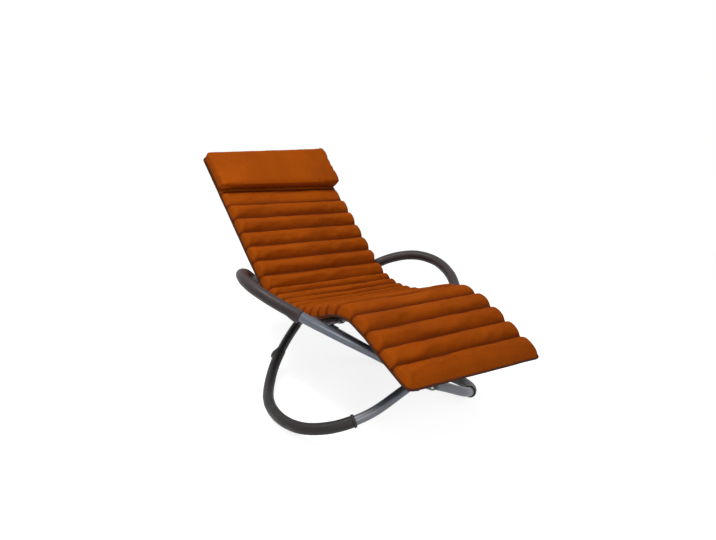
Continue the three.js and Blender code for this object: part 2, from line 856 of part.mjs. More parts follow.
// Head pillow on the first rolls, in the straight part of the back
const pillowMiddle = pillowHeadInset + pillowLength / 2;
const pillowSeat = seatAt(pillowMiddle);
const pillowRise = gap + pressedRollHeight + pillowLift;
const pillowAlongShares = [-1, -0.97, -0.86, -0.6, -0.2, 0.2, 0.6, 0.86, 0.97, 1];
const pillowFullShares = [0.3, 0.62, 0.86, 0.98, 1, 1, 0.98, 0.86, 0.62, 0.3];
const pillowAcrossShares = [-1, -0.985, -0.93, -0.75, -0.3, 0.3, 0.75, 0.93, 0.985, 1];

function pillowRing(index) {
  const along = (pillowAlongShares[index] * pillowLength) / 2;
  const full = pillowFullShares[index];
  const pull = (1 - full) * pillowDrawIn;
  const half = pillowWidth / 2 - pull;
  const point = (share, rise) => pillowSeat.place.clone()
    .addScaledVector(pillowSeat.along, along)
    .addScaledVector(pillowSeat.up, pillowRise + rise)
    .setY(share * half);
  const low = pillowAcrossShares.map((share) => point(share, (pillowHeight / 3) * (1 - full)));
  const high = pillowAcrossShares.map((share, i) => {
    const thick = (1 / 4 + (3 / 4) * full * pillowFullShares[i]) * (1 + full) / 2;
    return point(share, (pillowHeight / 3) * (1 - full) + pillowHeight * thick);
  });
  return [...high, ...low.reverse()];
}
addPart('head_pillow', skin(pillowAlongShares.map((_, i) => pillowRing(i))), 'cloth');

// A ribbon of the strap's thickness to the left of a line of points, standing on a base plane
function ribbon(points, width, basis) {
  const t = strapThickness;
  const far = points.map(([a, b], i) => {
    const before = points[Math.max(i - 1, 0)];
    const after = points[Math.min(i + 1, points.length - 1)];
    const into = new THREE.Vector2(a - before[0], b - before[1]).normalize();
    const onward = new THREE.Vector2(after[0] - a, after[1] - b).normalize();
    const along = into.clone().add(onward).normalize();
    const turn = Math.sqrt((1 + into.dot(onward)) / 2) || 1;
    const reach = i > 0 && i < points.length - 1 ? t / turn : t;
    return [a - along.y * reach, b + along.x * reach];
  });
  const outline = [...points, ...far.reverse()].map(([a, b]) => new THREE.Vector2(a, b));
  const band = new THREE.ExtrudeGeometry(
    new THREE.Shape(outline), { steps: 1, depth: width, bevelEnabled: false },
  );
  band.translate(0, 0, -width / 2);
  return band.applyMatrix4(basis);
}

// Pillow strap: sewn to the head end of the pillow, it lies over the head end of the cushion and
// hooks round the head bar
const across = new THREE.Vector3(0, 1, 0);
const headSeat = seatAt(0);
const headBasis = new THREE.Matrix4()
  .makeBasis(headSeat.along, headSeat.up, across.clone().negate())
  .setPosition(headSeat.place);
const headBarRun = barShares.head * seatLength;
const hookRadius = barDiameter / 2 + slideGap;
const hookTurns = [-110, -80, -50, -20, 10];
addPart(
  'pillow_strap',
  ribbon(
    [
      [-slideGap, pillowRise + pillowHeight / 4],
      [-slideGap, -gap],
      ...hookTurns.map((turn) => [
        headBarRun + hookRadius * Math.cos((turn * Math.PI) / 180),
        -railDrop + hookRadius * Math.sin((turn * Math.PI) / 180),
      ]),
    ].reverse(),
    pillowStrapWidth,
    headBasis,
  ),
  'strap',
);

// Elastic bands under the rails, sewn to the underside of the cushion
bandPlaces.forEach((name, i) => {
  const half = railY + railRadius + bandClear;
  const low = -railDrop - railRadius - slideGap * 3 - strapThickness;
  const right = [[half, low], [half, -gap - strapThickness], [half + bandLip, -gap - strapThickness]];
  const left = right.map(([y, z]) => [-y, z]).reverse();
  const { place, up } = seatAt(seatLength * bandPlaceShares[i]);
  const basis = new THREE.Matrix4()
    .makeBasis(across, up, new THREE.Vector3().crossVectors(across, up))
    .setPosition(place);
  addPart(`${name}_band`, ribbon([...left, ...right], strapWidth, basis), 'strap');
});

export default group;
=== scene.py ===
import json
import math

import bpy
import numpy as np
from mathutils import Matrix, Vector

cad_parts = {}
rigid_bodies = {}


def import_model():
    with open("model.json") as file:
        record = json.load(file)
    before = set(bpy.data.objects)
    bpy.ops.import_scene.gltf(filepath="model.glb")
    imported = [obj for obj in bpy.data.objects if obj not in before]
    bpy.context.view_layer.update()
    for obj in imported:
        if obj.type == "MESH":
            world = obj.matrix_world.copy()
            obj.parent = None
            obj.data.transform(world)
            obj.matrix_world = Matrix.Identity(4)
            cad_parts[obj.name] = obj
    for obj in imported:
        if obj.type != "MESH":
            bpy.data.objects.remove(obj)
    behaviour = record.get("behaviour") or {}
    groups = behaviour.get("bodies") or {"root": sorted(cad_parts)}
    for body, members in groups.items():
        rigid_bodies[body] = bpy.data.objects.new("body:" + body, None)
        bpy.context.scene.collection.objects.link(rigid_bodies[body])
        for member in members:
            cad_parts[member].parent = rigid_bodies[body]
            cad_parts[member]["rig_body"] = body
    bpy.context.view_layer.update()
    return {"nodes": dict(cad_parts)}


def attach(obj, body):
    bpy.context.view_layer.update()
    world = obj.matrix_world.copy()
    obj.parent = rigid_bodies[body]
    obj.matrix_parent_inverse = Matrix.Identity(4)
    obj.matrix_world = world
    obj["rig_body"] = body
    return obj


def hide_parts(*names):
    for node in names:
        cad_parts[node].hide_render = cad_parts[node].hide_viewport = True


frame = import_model()

# Camera: it stands beyond the foot end, on the sitter's right, a little above the head rest,
# and leans a few degrees to one side.
camera_place = Vector((1.764, -1.372, 1.056))
camera_yaw = math.radians(51.28)
camera_pitch = math.radians(15.26)
camera_roll = math.radians(4.62)
lens_data = bpy.data.cameras.new("camera")
lens_data.lens = 32.13
lens_data.sensor_width = 36
lens_data.clip_start = 0.01


def add_object(name, data):
    """A new object in the scene with that mesh, curve, lamp or lens."""
    made = bpy.data.objects.new(name, data)
    bpy.context.scene.collection.objects.link(made)
    return made


camera = add_object("camera", lens_data)
back = Vector((
    math.sin(camera_yaw) * math.cos(camera_pitch),
    -math.cos(camera_yaw) * math.cos(camera_pitch),
    math.sin(camera_pitch),
))
level = Vector((math.cos(camera_yaw), math.sin(camera_yaw), 0))
rise = back.cross(level)
right = level * math.cos(camera_roll) + rise * math.sin(camera_roll)
upward = rise * math.cos(camera_roll) - level * math.sin(camera_roll)
camera.matrix_world = Matrix((
    (right.x, upward.x, back.x, camera_place.x),
    (right.y, upward.y, back.y, camera_place.y),
    (right.z, upward.z, back.z, camera_place.z),
    (0, 0, 0, 1),
))
bpy.context.scene.camera = camera
bpy.context.scene.view_settings.view_transform = "Standard"

# Studio: a wide pale floor, a soft even sky and two large lamps. The white of the picture is
# seen by the camera and in reflections, and lights nothing.
floor_size = 60
floor_glow = 0.8
floor_fade = (1.6, 4.5)
floor_colour = (0.7, 0.7, 0.7, 1)
sky_colour = (0.95, 0.97, 1, 1)
sky_strength = 0.22
# Name, place, aim, width in metres and watts
lamps = (
    ("key_lamp", (-0.2, -1.0, 2.9), (0, 0, 0.4), 1.2, 51),
    ("foot_lamp", (2.5, -1.3, 1.5), (0, 0, 0.4), 1.4, 26),
)


def put_node(tree, kind, settings=None, **values):
    """A shader node whose sockets are set by name or number; a value that is a socket is linked."""
    node = tree.nodes.new(kind)
    for key, value in (settings or {}).items():
        setattr(node, key, value)
    for key, value in values.items():
        socket = node.inputs[int(key[1:])] if key[1:].isdigit() else node.inputs[key.replace("_", " ")]
        if isinstance(value, bpy.types.NodeSocket):
            tree.links.new(value, socket)
        else:
            socket.default_value = value
    return node


def blank_tree(owner):
    owner.use_nodes = True
    owner.node_tree.nodes.clear()
    return owner.node_tree


def worked_out(tree, operation, *operands, clamped=False):
    """The result of a Math node on its operands, each a socket or a number."""
    return put_node(tree, "ShaderNodeMath", {"operation": operation, "use_clamp": clamped},
                    **{f"_{place}": operand for place, operand in enumerate(operands)}).outputs[0]


def mixed_colour(tree, share, first, second):
    return put_node(tree, "ShaderNodeMix", {"data_type": "RGBA"}, _0=share, _6=first, _7=second).outputs[2]


def seen_directly(tree):
    """1 for what the camera, a reflection or a refraction sees, 0 for what only gives light."""
    ray = put_node(tree, "ShaderNodeLightPath").outputs
    plain = worked_out(tree, "MAXIMUM", ray["Is Camera Ray"], ray["Is Glossy Ray"])
    return worked_out(tree, "MAXIMUM", plain, ray["Is Transmission Ray"])


bpy.ops.object.select_all(action="DESELECT")
bpy.ops.mesh.primitive_plane_add(size=floor_size, location=(0, 0, 0))
floor = bpy.context.object
floor.name = "studio_floor"
floor_finish = bpy.data.materials.new("studio_floor")
tree = blank_tree(floor_finish)
seen = seen_directly(tree)
glow = put_node(tree, "ShaderNodeEmission", Color=(1, 1, 1, 1),
                Strength=worked_out(tree, "MULTIPLY", seen, floor_glow))
matt = put_node(tree, "ShaderNodeBsdfDiffuse", Color=floor_colour)
near_floor = put_node(tree, "ShaderNodeAddShader", _0=glow.outputs[0], _1=matt.outputs[0])
far_floor = put_node(tree, "ShaderNodeEmission", Color=(1, 1, 1, 1), Strength=1.0)
where = put_node(tree, "ShaderNodeTexCoord").outputs["Object"]
distance = put_node(tree, "ShaderNodeVectorMath", {"operation": "LENGTH"}, _0=where).outputs["Value"]
fade = put_node(tree, "ShaderNodeMapRange", {"interpolation_type": "SMOOTHSTEP"},
                Value=distance, From_Min=floor_fade[0], From_Max=floor_fade[1])
both = put_node(tree, "ShaderNodeMixShader", _0=worked_out(tree, "MULTIPLY", fade.outputs[0], seen),
                _1=near_floor.outputs[0], _2=far_floor.outputs[0])
put_node(tree, "ShaderNodeOutputMaterial", Surface=both.outputs[0])
floor.data.materials.append(floor_finish)

world = bpy.data.worlds.new("studio")
bpy.context.scene.world = world
tree = blank_tree(world)
sky = put_node(tree, "ShaderNodeBackground", Color=sky_colour, Strength=sky_strength)
white = put_node(tree, "ShaderNodeBackground", Color=(1, 1, 1, 1), Strength=1)
mixed = put_node(tree, "ShaderNodeMixShader", _0=seen_directly(tree), _1=sky.outputs[0], _2=white.outputs[0])
put_node(tree, "ShaderNodeOutputWorld", Surface=mixed.outputs[0])

for name, place, aim, size, watts in lamps:
    lamp_data = bpy.data.lights.new(name, "AREA")
    lamp_data.shape = "DISK"
    lamp_data.size = size
    lamp_data.energy = watts
    lamp = add_object(name, lamp_data)
    lamp.location = place
    lamp.rotation_euler = (Vector(place) - Vector(aim)).to_track_quat("Z", "Y").to_euler()

# Hoops: two closed tubular hoops that cross at the pivots in front and behind. Each is an armrest
# on one side and a rocker on the other, bent from 32 mm steel tube with 1.6 mm wall in an upper
# and a lower bow, and painted silver.
hoop_tube_radius = 0.016
hoop_tube_wall = 0.0016
bow_end_gap = 0.015
hoop_stagger = 0.0441
pivot_height = 0.1915
pivot_x = {"front": 0.416, "rear": -0.26}
hoop_middle_x = 0.091
hoop_reach = 0.345
hoop_span = 0.416
hoop_rise = 0.428
hoop_line_height = 0.0185
shoulder_drop = 0.084
shoulder_station = 9
pivot_stations = {"front": 0, "rear": 11}
hoop_steps = 24
seat_steps = 60
slope_reach = 0.006
# Along, across and up, each as a share of the reach, the span and the rise
hoop_stations = (
    (0.942, 0, 0.404), (0.912, 0.21, 0.522), (0.828, 0.361, 0.617), (0.625, 0.61, 0.75),
    (0.362, 0.82, 0.864), (0.072, 0.957, 0.946), (-0.22, 1, 0.995), (-0.49, 0.9375, 0.998),
    (-0.713, 0.784, 0.932), (-0.93, 0.534, 0.788), (-1.02, 0.3, 0.645), (-1.017, 0, 0.404),
    (-0.977, -0.166, 0.266), (-0.791, -0.409, 0.112), (-0.49, -0.632, 0.02), (-0.145, -0.803, 0),
    (0.264, -0.885, 0.021), (0.583, -0.851, 0.063), (0.803, -0.702, 0.124), (0.922, -0.469, 0.21),
    (0.95, -0.2, 0.325),
)
# Along and up, in metres, from the head end to the foot end
seat_stations = (
    (-0.657, 0.762), (-0.5195, 0.6553), (-0.3793, 0.5464), (-0.209, 0.413), (-0.1094, 0.3452),
    (-0.0085, 0.3231), (0.1107, 0.333), (0.2102, 0.3658), (0.2914, 0.4001), (0.3609, 0.4092),
    (0.431, 0.3909), (0.541, 0.3429), (0.653, 0.2987),
)
# Side: the body, its armrest's side and its rocker's side
hoop_bodies = {1: ("inner_hoop", "left", "right"), -1: ("outer_hoop", "right", "left")}


def smooth_through(points, closed, steps):
    """A centripetal curve through the points, with that many steps from each to the next."""
    p = np.array(points, float)
    if closed:
        p = np.vstack([p[-1:], p, p[:2]])
    else:
        p = np.vstack([2 * p[:1] - p[1:2], p, 2 * p[-1:] - p[-2:-1]])
    found = []
    for a, b, c, d in zip(p[:-3], p[1:-2], p[2:-1], p[3:]):
        t0, t1, t2 = (np.linalg.norm(v) ** 0.5 for v in (b - a, c - b, d - c))
        m1 = ((b - a) / t0 - (c - a) / (t0 + t1) + (c - b) / t1) * t1
        m2 = ((c - b) / t1 - (d - b) / (t1 + t2) + (d - c) / t2) * t1
        for u in np.arange(steps) / steps:
            bend = (3 * (c - b) - 2 * m1 - m2) * u * u
            found.append(b + m1 * u + bend + (2 * (b - c) + m1 + m2) * u ** 3)
    found.append(p[-2])
    return np.array(found)


def run_of(points):
    """Length along a line of points, at each point."""
    return np.concatenate([[0], np.cumsum(np.linalg.norm(np.diff(points, axis=0), axis=1))])


seat_line = smooth_through([(x, 0, z) for x, z in seat_stations], False, seat_steps)
seat_run = run_of(seat_line)
seat_length = seat_run[-1]


def seat_frame(run, height=0.0, y=0.0):
    """Points by the seat line: run from the head, height square to the line, and place across."""
    run = np.asarray(run, float)
    beyond = run - np.clip(run, 0, seat_length)
    low = np.clip(run - slope_reach, 0, seat_length - 2 * slope_reach)
    x, z = (np.interp(run, seat_run, line) for line in (seat_line[:, 0], seat_line[:, 2]))
    dx, dz = (np.interp(low + 2 * slope_reach, seat_run, line) - np.interp(low, seat_run, line)
              for line in (seat_line[:, 0], seat_line[:, 2]))
    size = np.hypot(dx, dz)
    dx, dz = dx / size, dz / size
    parts = (x + beyond * dx - height * dz, y, z + beyond * dz + height * dx)
    return np.stack(np.broadcast_arrays(*parts), axis=-1)


def hoop_loop(side):
    """The line of one hoop: side 1 has its arm on the sitter's left, side -1 lies outside it."""
    points = []
    for index, (along, across, up) in enumerate(hoop_stations):
        pivot = pivot_x["front" if along > 0 else "rear"] - hoop_middle_x
        at_pivot = index in pivot_stations.values()
        x = pivot if at_pivot else along * hoop_reach
        out = 0 if side > 0 else math.copysign(hoop_stagger * abs(x / pivot) ** 4, x)
        z = pivot_height if at_pivot else hoop_line_height + up * hoop_rise
        if index == shoulder_station:
            z = np.interp(x + hoop_middle_x, seat_line[:, 0], seat_line[:, 2]) - shoulder_drop
        points.append((x + out + hoop_middle_x, side * across * hoop_span, z))
    return smooth_through(points, True, hoop_steps)


hoop_loops = {side: hoop_loop(side) for side in hoop_bodies}


def hoop_points(side, start, end, trim=(0, 0), step=0.008):
    """Points on a hoop between two station numbers, shortened by trim at its ends."""
    loop = hoop_loops[side][:-1]
    turns = np.vstack([loop, loop, loop, loop[:1]])
    run = run_of(turns)
    stations = np.arange(len(turns)) / hoop_steps
    first = np.interp(start + len(hoop_stations), stations, run) + trim[0]
    last = np.interp(end + len(hoop_stations), stations, run) - trim[1]
    runs = np.linspace(first, last, max(3, int((last - first) / step) + 1))
    return np.stack([np.interp(runs, run, turns[:, i]) for i in range(3)], axis=1)


def take(piece):
    """Makes a piece the only selected object and the active one."""
    bpy.ops.object.select_all(action="DESELECT")
    piece.select_set(True)
    bpy.context.view_layer.objects.active = piece
    return piece


def apply_modifier(piece, kind, **settings):
    take(piece)
    modifier = piece.modifiers.new(kind.lower(), kind)
    for key, value in settings.items():
        setattr(modifier, key, value)
    bpy.ops.object.modifier_apply(modifier=modifier.name)


def smooth(piece, degrees=35):
    take(piece)
    bpy.ops.object.shade_smooth_by_angle(angle=math.radians(degrees))
    return piece


def face_outwards(piece):
    """Turns all faces of a closed piece outwards."""
    take(piece)
    bpy.ops.object.mode_set(mode="EDIT")
    bpy.ops.mesh.select_all(action="SELECT")
    bpy.ops.mesh.normals_make_consistent(inside=False)
    bpy.ops.object.mode_set(mode="OBJECT")


def corners_of(piece):
    """The places of a mesh's vertices, one row each."""
    return np.array([vertex.co for vertex in piece.data.vertices])


def move_corners(piece, places):
    piece.data.vertices.foreach_set("co", np.asarray(places).ravel())
    piece.data.update()


def bent_bar(name, points, radius, widths=None, wall=0, closed=False, detail=10):
    """A round bar, drawn as a bevelled curve through the points; with a wall it is a tube."""
    curve = bpy.data.curves.new(name, "CURVE")
    curve.dimensions = "3D"
    curve.bevel_depth = radius
    curve.bevel_resolution = detail
    curve.use_fill_caps = not wall and not closed
    spline = curve.splines.new("POLY")
    spline.points.add(len(points) - 1)
    spline.points.foreach_set("co", np.hstack([points, np.ones((len(points), 1))]).ravel())
    if widths is not None:
        spline.points.foreach_set("radius", np.asarray(widths, float))
    spline.use_cyclic_u = closed
    take(add_object(name, curve))
    bpy.ops.object.convert(target="MESH")
    bar = bpy.context.object
    bpy.ops.object.mode_set(mode="EDIT")
    bpy.ops.mesh.select_all(action="SELECT")
    bpy.ops.mesh.remove_doubles(threshold=1e-6)
    bpy.ops.object.mode_set(mode="OBJECT")
    face_outwards(bar)
    if wall:
        apply_modifier(bar, "SOLIDIFY", thickness=wall, offset=-1)
    return smooth(bar)


def rounded_ends(points, full, end_run=0.003, least=0.55):
    """Widths for a bar whose ends are rounded off over a short run."""
    run = run_of(points)
    near = np.clip(np.minimum(run, run[-1] - run) / end_run, 0, 1)
    return full * (least + (1 - least) * np.sqrt(1 - (1 - near) ** 2))


def with_end_rows(points, rows=(0.0004, 0.001, 0.002, 0.003)):
    """Adds close points at both ends of a line, so that an end can be rounded."""
    run = run_of(points)
    runs = np.unique(np.concatenate([run, rows, run[-1] - np.array(rows)]))
    return np.stack([np.interp(runs, run, points[:, i]) for i in range(3)], axis=1)


def hang_on(piece, body, finish, slot, *nodes):
    """Gives a finished piece its material and body, and hides the frame parts it stands for; slot is unused.
    """
    piece.data.materials.clear()
    piece.data.materials.append(finish)
    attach(piece, body)
    if nodes:
        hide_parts(*nodes)
    return piece


def shared_effect(name, inputs, outputs):
    """A node group with named sockets; returns it with its input sockets and its output node."""
    group = bpy.data.node_groups.new(name, "ShaderNodeTree")
    kinds = {"value": "NodeSocketFloat", "vector": "NodeSocketVector", "colour": "NodeSocketColor"}
    for label, kind in inputs.items():
        group.interface.new_socket(label, in_out="INPUT", socket_type=kinds[kind])
    for label, kind in outputs.items():
        group.interface.new_socket(label, in_out="OUTPUT", socket_type=kinds[kind])
    return group, group.nodes.new("NodeGroupInput").outputs, group.nodes.new("NodeGroupOutput").inputs


# Patches of a lighter and a darker tone, as on any painted or worn surface
patchy_tone, given, result = shared_effect(
    "patchy_tone", {"Vector": "vector", "Scale": "value", "Dark": "colour", "Light": "colour"},
    {"Colour": "colour", "Mask": "value"})
noise = put_node(patchy_tone, "ShaderNodeTexNoise", Vector=given["Vector"], Scale=given["Scale"],
                 Detail=5.0)
mask = put_node(patchy_tone, "ShaderNodeMapRange", Value=noise.outputs[0], From_Min=0.32, From_Max=0.68)
tone = mixed_colour(patchy_tone, mask.outputs[0], given["Dark"], given["Light"])
patchy_tone.links.new(tone, result["Colour"])
patchy_tone.links.new(mask.outputs[0], result["Mask"])

# Fine relief of a cast, sprayed or foamed surface
fine_relief, given, result = shared_effect(
    "fine_relief", {"Vector": "vector", "Scale": "value", "Depth": "value"}, {"Normal": "vector"})
noise = put_node(fine_relief, "ShaderNodeTexNoise", Vector=given["Vector"], Scale=given["Scale"],
                 Detail=3.0)
dent = put_node(fine_relief, "ShaderNodeBump", Strength=1.0, Distance=given["Depth"],
                Height=noise.outputs[0])
fine_relief.links.new(dent.outputs[0], result["Normal"])

# Rubbed places: the convex edges, broken up by noise
rubbed_edges, given, result = shared_effect(
    "rubbed_edges", {"Vector": "vector", "Amount": "value"}, {"Mask": "value"})
shape = put_node(rubbed_edges, "ShaderNodeNewGeometry")
edge = put_node(rubbed_edges, "ShaderNodeMapRange", Value=shape.outputs["Pointiness"],
                From_Min=0.52, From_Max=0.6)
noise = put_node(rubbed_edges, "ShaderNodeTexNoise", Vector=given["Vector"], Scale=90.0, Detail=4.0)
broken = worked_out(rubbed_edges, "MULTIPLY", edge.outputs[0], noise.outputs[0])
rubbed = worked_out(rubbed_edges, "MULTIPLY", broken, given["Amount"], clamped=True)
rubbed_edges.links.new(rubbed, result["Mask"])


def plain_finish(name, dark, light, patch_scale, relief_scale, relief_depth, rough, metal=0.0, rub=0.0,
                 rub_colour=(0.3, 0.3, 0.3, 1), **constants):
    """A material with patchy tone and roughness, fine relief and rubbed edges, on object places."""
    finish = bpy.data.materials.new(name)
    tree = blank_tree(finish)
    where = put_node(tree, "ShaderNodeTexCoord").outputs["Object"]
    tone = put_node(tree, "ShaderNodeGroup", {"node_tree": patchy_tone},
                    Vector=where, Scale=patch_scale, Dark=dark, Light=light)
    relief = put_node(tree, "ShaderNodeGroup", {"node_tree": fine_relief},
                      Vector=where, Scale=relief_scale, Depth=relief_depth)
    colour = tone.outputs["Colour"]
    if rub:
        rubbed = put_node(tree, "ShaderNodeGroup", {"node_tree": rubbed_edges}, Vector=where, Amount=rub)
        colour = mixed_colour(tree, rubbed.outputs[0], colour, rub_colour)
    gloss = put_node(tree, "ShaderNodeMapRange", Value=tone.outputs["Mask"],
                     To_Min=rough[0], To_Max=rough[1])
    shader = put_node(tree, "ShaderNodeBsdfPrincipled", Base_Color=colour, Metallic=metal,
                      Roughness=gloss.outputs[0], Normal=relief.outputs[0])
    for key, value in constants.items():
        shader.inputs[key.replace("_", " ")].default_value = value
    put_node(tree, "ShaderNodeOutputMaterial", Surface=shader.outputs[0])
    return finish


silver_paint = plain_finish(
    "silver_paint", (0.094, 0.108, 0.134, 1), (0.16, 0.165, 0.184, 1), 7.0, 1400.0, 0.00006, (0.32, 0.44),
    metal=0.6, rub=0.8, rub_colour=(0.25, 0.25, 0.26, 1), Specular_IOR_Level=0.4)
for side, (body, arm, rocker) in hoop_bodies.items():
    for name, start, end in ((f"{arm}_arm_bow", 0, 11), (f"{rocker}_rocker_bow", 11, 21)):
        bow = bent_bar(name + "_tube", hoop_points(side, start, end, (bow_end_gap / 2,) * 2),
                       hoop_tube_radius, wall=hoop_tube_wall)
        hang_on(bow, body, silver_paint, "hoop_tube", name)

# Sheaths: a thin black vinyl hose shrunk on the rear part of each lower bow, between the coupler
# and the stop block. It is painted shade: a dark sleeve that stands for the shade and the dark
# reflection on the tube below the cushion.
sheath_stations = (11.55, 12.82)
sheath_wall = 0.0009
sheath_front_gap = 0.004
painted_shade_vinyl = plain_finish(
    "painted_shade_vinyl", (0.012, 0.011, 0.011, 1), (0.026, 0.024, 0.023, 1), 24.0, 500.0, 0.00025, (0.42, 0.6))
for side, (body, arm, rocker) in hoop_bodies.items():
    points = with_end_rows(hoop_points(side, *sheath_stations, (sheath_front_gap, 0)), (0.0004, 0.0009))
    sheath = bent_bar(f"{rocker}_bow_shade_sheath", points, 1.0,
                      rounded_ends(points, hoop_tube_radius + sheath_wall, end_run=0.0009, least=0.95))
    hang_on(sheath, body, painted_shade_vinyl, "rocker_rubber")

# Arm sleeves: soft dark foam hose pushed over each armrest stretch. Its ends are cut square and
# slightly rounded, and the front one is thickened below, where it butts against the bracket.
arm_sleeve_radius = 0.019
arm_sleeve_stations = (4, 8.75)
foam_unevenness = 0.012
end_swell = 0.035
end_swell_length = 0.006
heel_length = 0.042
heel_depth = 0.0075
arm_foam = plain_finish(
    "arm_foam", (0.018, 0.0095, 0.0095, 1), (0.034, 0.02, 0.02, 1), 20.0, 520.0, 0.0004, (0.4, 0.55),
    Specular_IOR_Level=0.32)
for side, (body, arm, rocker) in hoop_bodies.items():
    points = with_end_rows(hoop_points(side, *arm_sleeve_stations))
    run = run_of(points)
    widths = rounded_ends(points, arm_sleeve_radius, end_run=0.003, least=0.88)
    widths *= 1 + foam_unevenness * np.sin(run * 23) * np.sin(run * 61 + side)
    for end in (0, run[-1]):
        widths *= 1 + end_swell * np.exp(-((run - abs(end - end_swell_length)) / end_swell_length) ** 2)
    sleeve = bent_bar(f"{arm}_foam_sleeve", points, 1.0, widths)
    place = corners_of(sleeve)
    along = (points[6] - points[0]) / np.linalg.norm(points[6] - points[0])
    off = place - points[0]
    behind = off @ along
    down = np.array([0, 0, -1.0]) + along[2] * along
    below = np.clip(off @ down / arm_sleeve_radius, 0, 1)
    heel = np.sin(math.pi * np.clip(behind / heel_length, 0, 1) ** 0.6) * (behind < heel_length)
    move_corners(sleeve, place + down * (heel_depth * below * heel)[:, None])
    hang_on(sleeve, body, arm_foam, "arm_sleeve", f"{arm}_arm_sleeve")

# Rocker sleeves: thick rubber hose over each rocker stretch, worn flat and dull where it rolls on
# the ground, with a moulded lip at the front end.
rocker_sleeve_radius = 0.019
rocker_sleeve_stations = (13, 18.5)
rubber_unevenness = 0.008
lip_stand_out = 0.003
lip_length = 0.011
rocker_rubber = plain_finish(
    "rocker_rubber", (0.007, 0.005, 0.0045, 1), (0.016, 0.012, 0.011, 1), 26.0, 420.0, 0.00045,
    (0.42, 0.62), rub=0.7, rub_colour=(0.06, 0.052, 0.046, 1), Specular_IOR_Level=0.3)
for side, (body, arm, rocker) in hoop_bodies.items():
    points = with_end_rows(hoop_points(side, *rocker_sleeve_stations))
    run = run_of(points)
    widths = rounded_ends(points, rocker_sleeve_radius, end_run=0.002, least=0.92)
    widths *= 1 + rubber_unevenness * np.sin(run * 31 + side) * np.sin(run * 83)
    sleeve = bent_bar(f"{rocker}_rubber_sleeve", points, 1.0, widths)
    rolled_flat = corners_of(sleeve)
    rolled_flat[:, 2] = np.maximum(rolled_flat[:, 2], 0)
    move_corners(sleeve, rolled_flat)
    hang_on(sleeve, body, rocker_rubber, "rocker_rubber", f"{rocker}_rocker_sleeve")

    front = rocker_sleeve_stations[1]
    points = with_end_rows(hoop_points(side, front, front + 0.3), (0.0005, 0.0015))
    points = points[run_of(points) <= lip_length + 0.0003]
    lip = bent_bar(f"{rocker}_rubber_lip", points, 1.0,
                   rounded_ends(points, rocker_sleeve_radius + lip_stand_out, end_run=0.0015, least=0.93))
    hang_on(lip, body, rocker_rubber, "rocker_rubber", f"{rocker}_rocker_lip")

# Stop blocks: a moulded rubber collar behind each rocker sleeve, with a nose on its rear side
# that touches the ground first when the chair rocks far back.
stop_block_rows = 47
stop_block_overlap = 0.01
stop_block_share = 1.02
stop_nose = 0.0125
stop_nose_middle = 0.002
stop_nose_half_length = 0.0165
for side, (body, arm, rocker) in hoop_bodies.items():
    rear = rocker_sleeve_stations[0]
    line = hoop_points(side, rear - 1, rear, (0, -stop_block_overlap), 0.001)[-stop_block_rows:]
    points = with_end_rows(line[::3], (0.0006, 0.0015, 0.003))
    collar = bent_bar(f"{rocker}_stop_collar", points, 1.0,
                      rounded_ends(points, rocker_sleeve_radius * stop_block_share, end_run=0.003, least=0.9))
    place = corners_of(collar)
    middle = points.mean(axis=0)
    along = (points[-1] - points[0]) / np.linalg.norm(points[-1] - points[0])
    outward = np.array([-1.0, 0, 0]) + along[0] * along
    outward /= np.linalg.norm(outward)
    off = place - middle
    facing = np.clip(off @ outward / rocker_sleeve_radius, 0, 1)
    hump = np.exp(-((off @ along - stop_nose_middle) / stop_nose_half_length) ** 4)
    move_corners(collar, place + outward * (stop_nose * facing ** 0.7 * hump)[:, None])
    hang_on(collar, body, rocker_rubber, "rocker_rubber", f"{rocker}_stop_block")

# Couplers: a cast collar at each crossing, into which the ends of the two bows are pressed. It is
# milled flat where it meets its neighbours, and painted dark. The bolt's bore isn't cut here, since
# discs and washers hide it.
coupler_radius = 0.021
coupler_flat = 0.038
coupler_length = 0.044
dark_paint = plain_finish(
    "dark_paint", (0.03, 0.028, 0.028, 1), (0.055, 0.05, 0.05, 1), 18.0, 900.0, 0.0001, (0.3, 0.46),
    metal=0.35, rub=0.9, rub_colour=(0.2, 0.2, 0.2, 1))
for side, (body, arm, rocker) in hoop_bodies.items():
    for end, station in pivot_stations.items():
        points = hoop_points(side, station - 0.6, station + 0.6, step=0.001)
        middle_x = pivot_x[end] + (0 if side > 0 else math.copysign(hoop_stagger, pivot_x[end]))
        middle = np.array([middle_x, 0, pivot_height])
        points = points[np.linalg.norm(points - middle, axis=1) < coupler_length / 2]
        points = with_end_rows(points[::4], (0.0005, 0.0012, 0.002))
        coupler = bent_bar(f"{arm}_arm_{end}_collar", points, 1.0,
                           rounded_ends(points, coupler_radius, end_run=0.002, least=0.9))
        bpy.ops.object.mode_set(mode="EDIT")
        for way in (1, -1):
            bpy.ops.mesh.select_all(action="SELECT")
            bpy.ops.mesh.bisect(plane_co=(middle_x + way * coupler_flat / 2, 0, 0), plane_no=(way, 0, 0),
                                use_fill=True, clear_outer=True)
        bpy.ops.object.mode_set(mode="OBJECT")
        apply_modifier(coupler, "BEVEL", width=0.0008, segments=2, limit_method="ANGLE",
                       angle_limit=math.radians(40))
        smooth(coupler, 40)
        hang_on(coupler, body, dark_paint, "frame_tube", f"{arm}_arm_{end}_coupler")

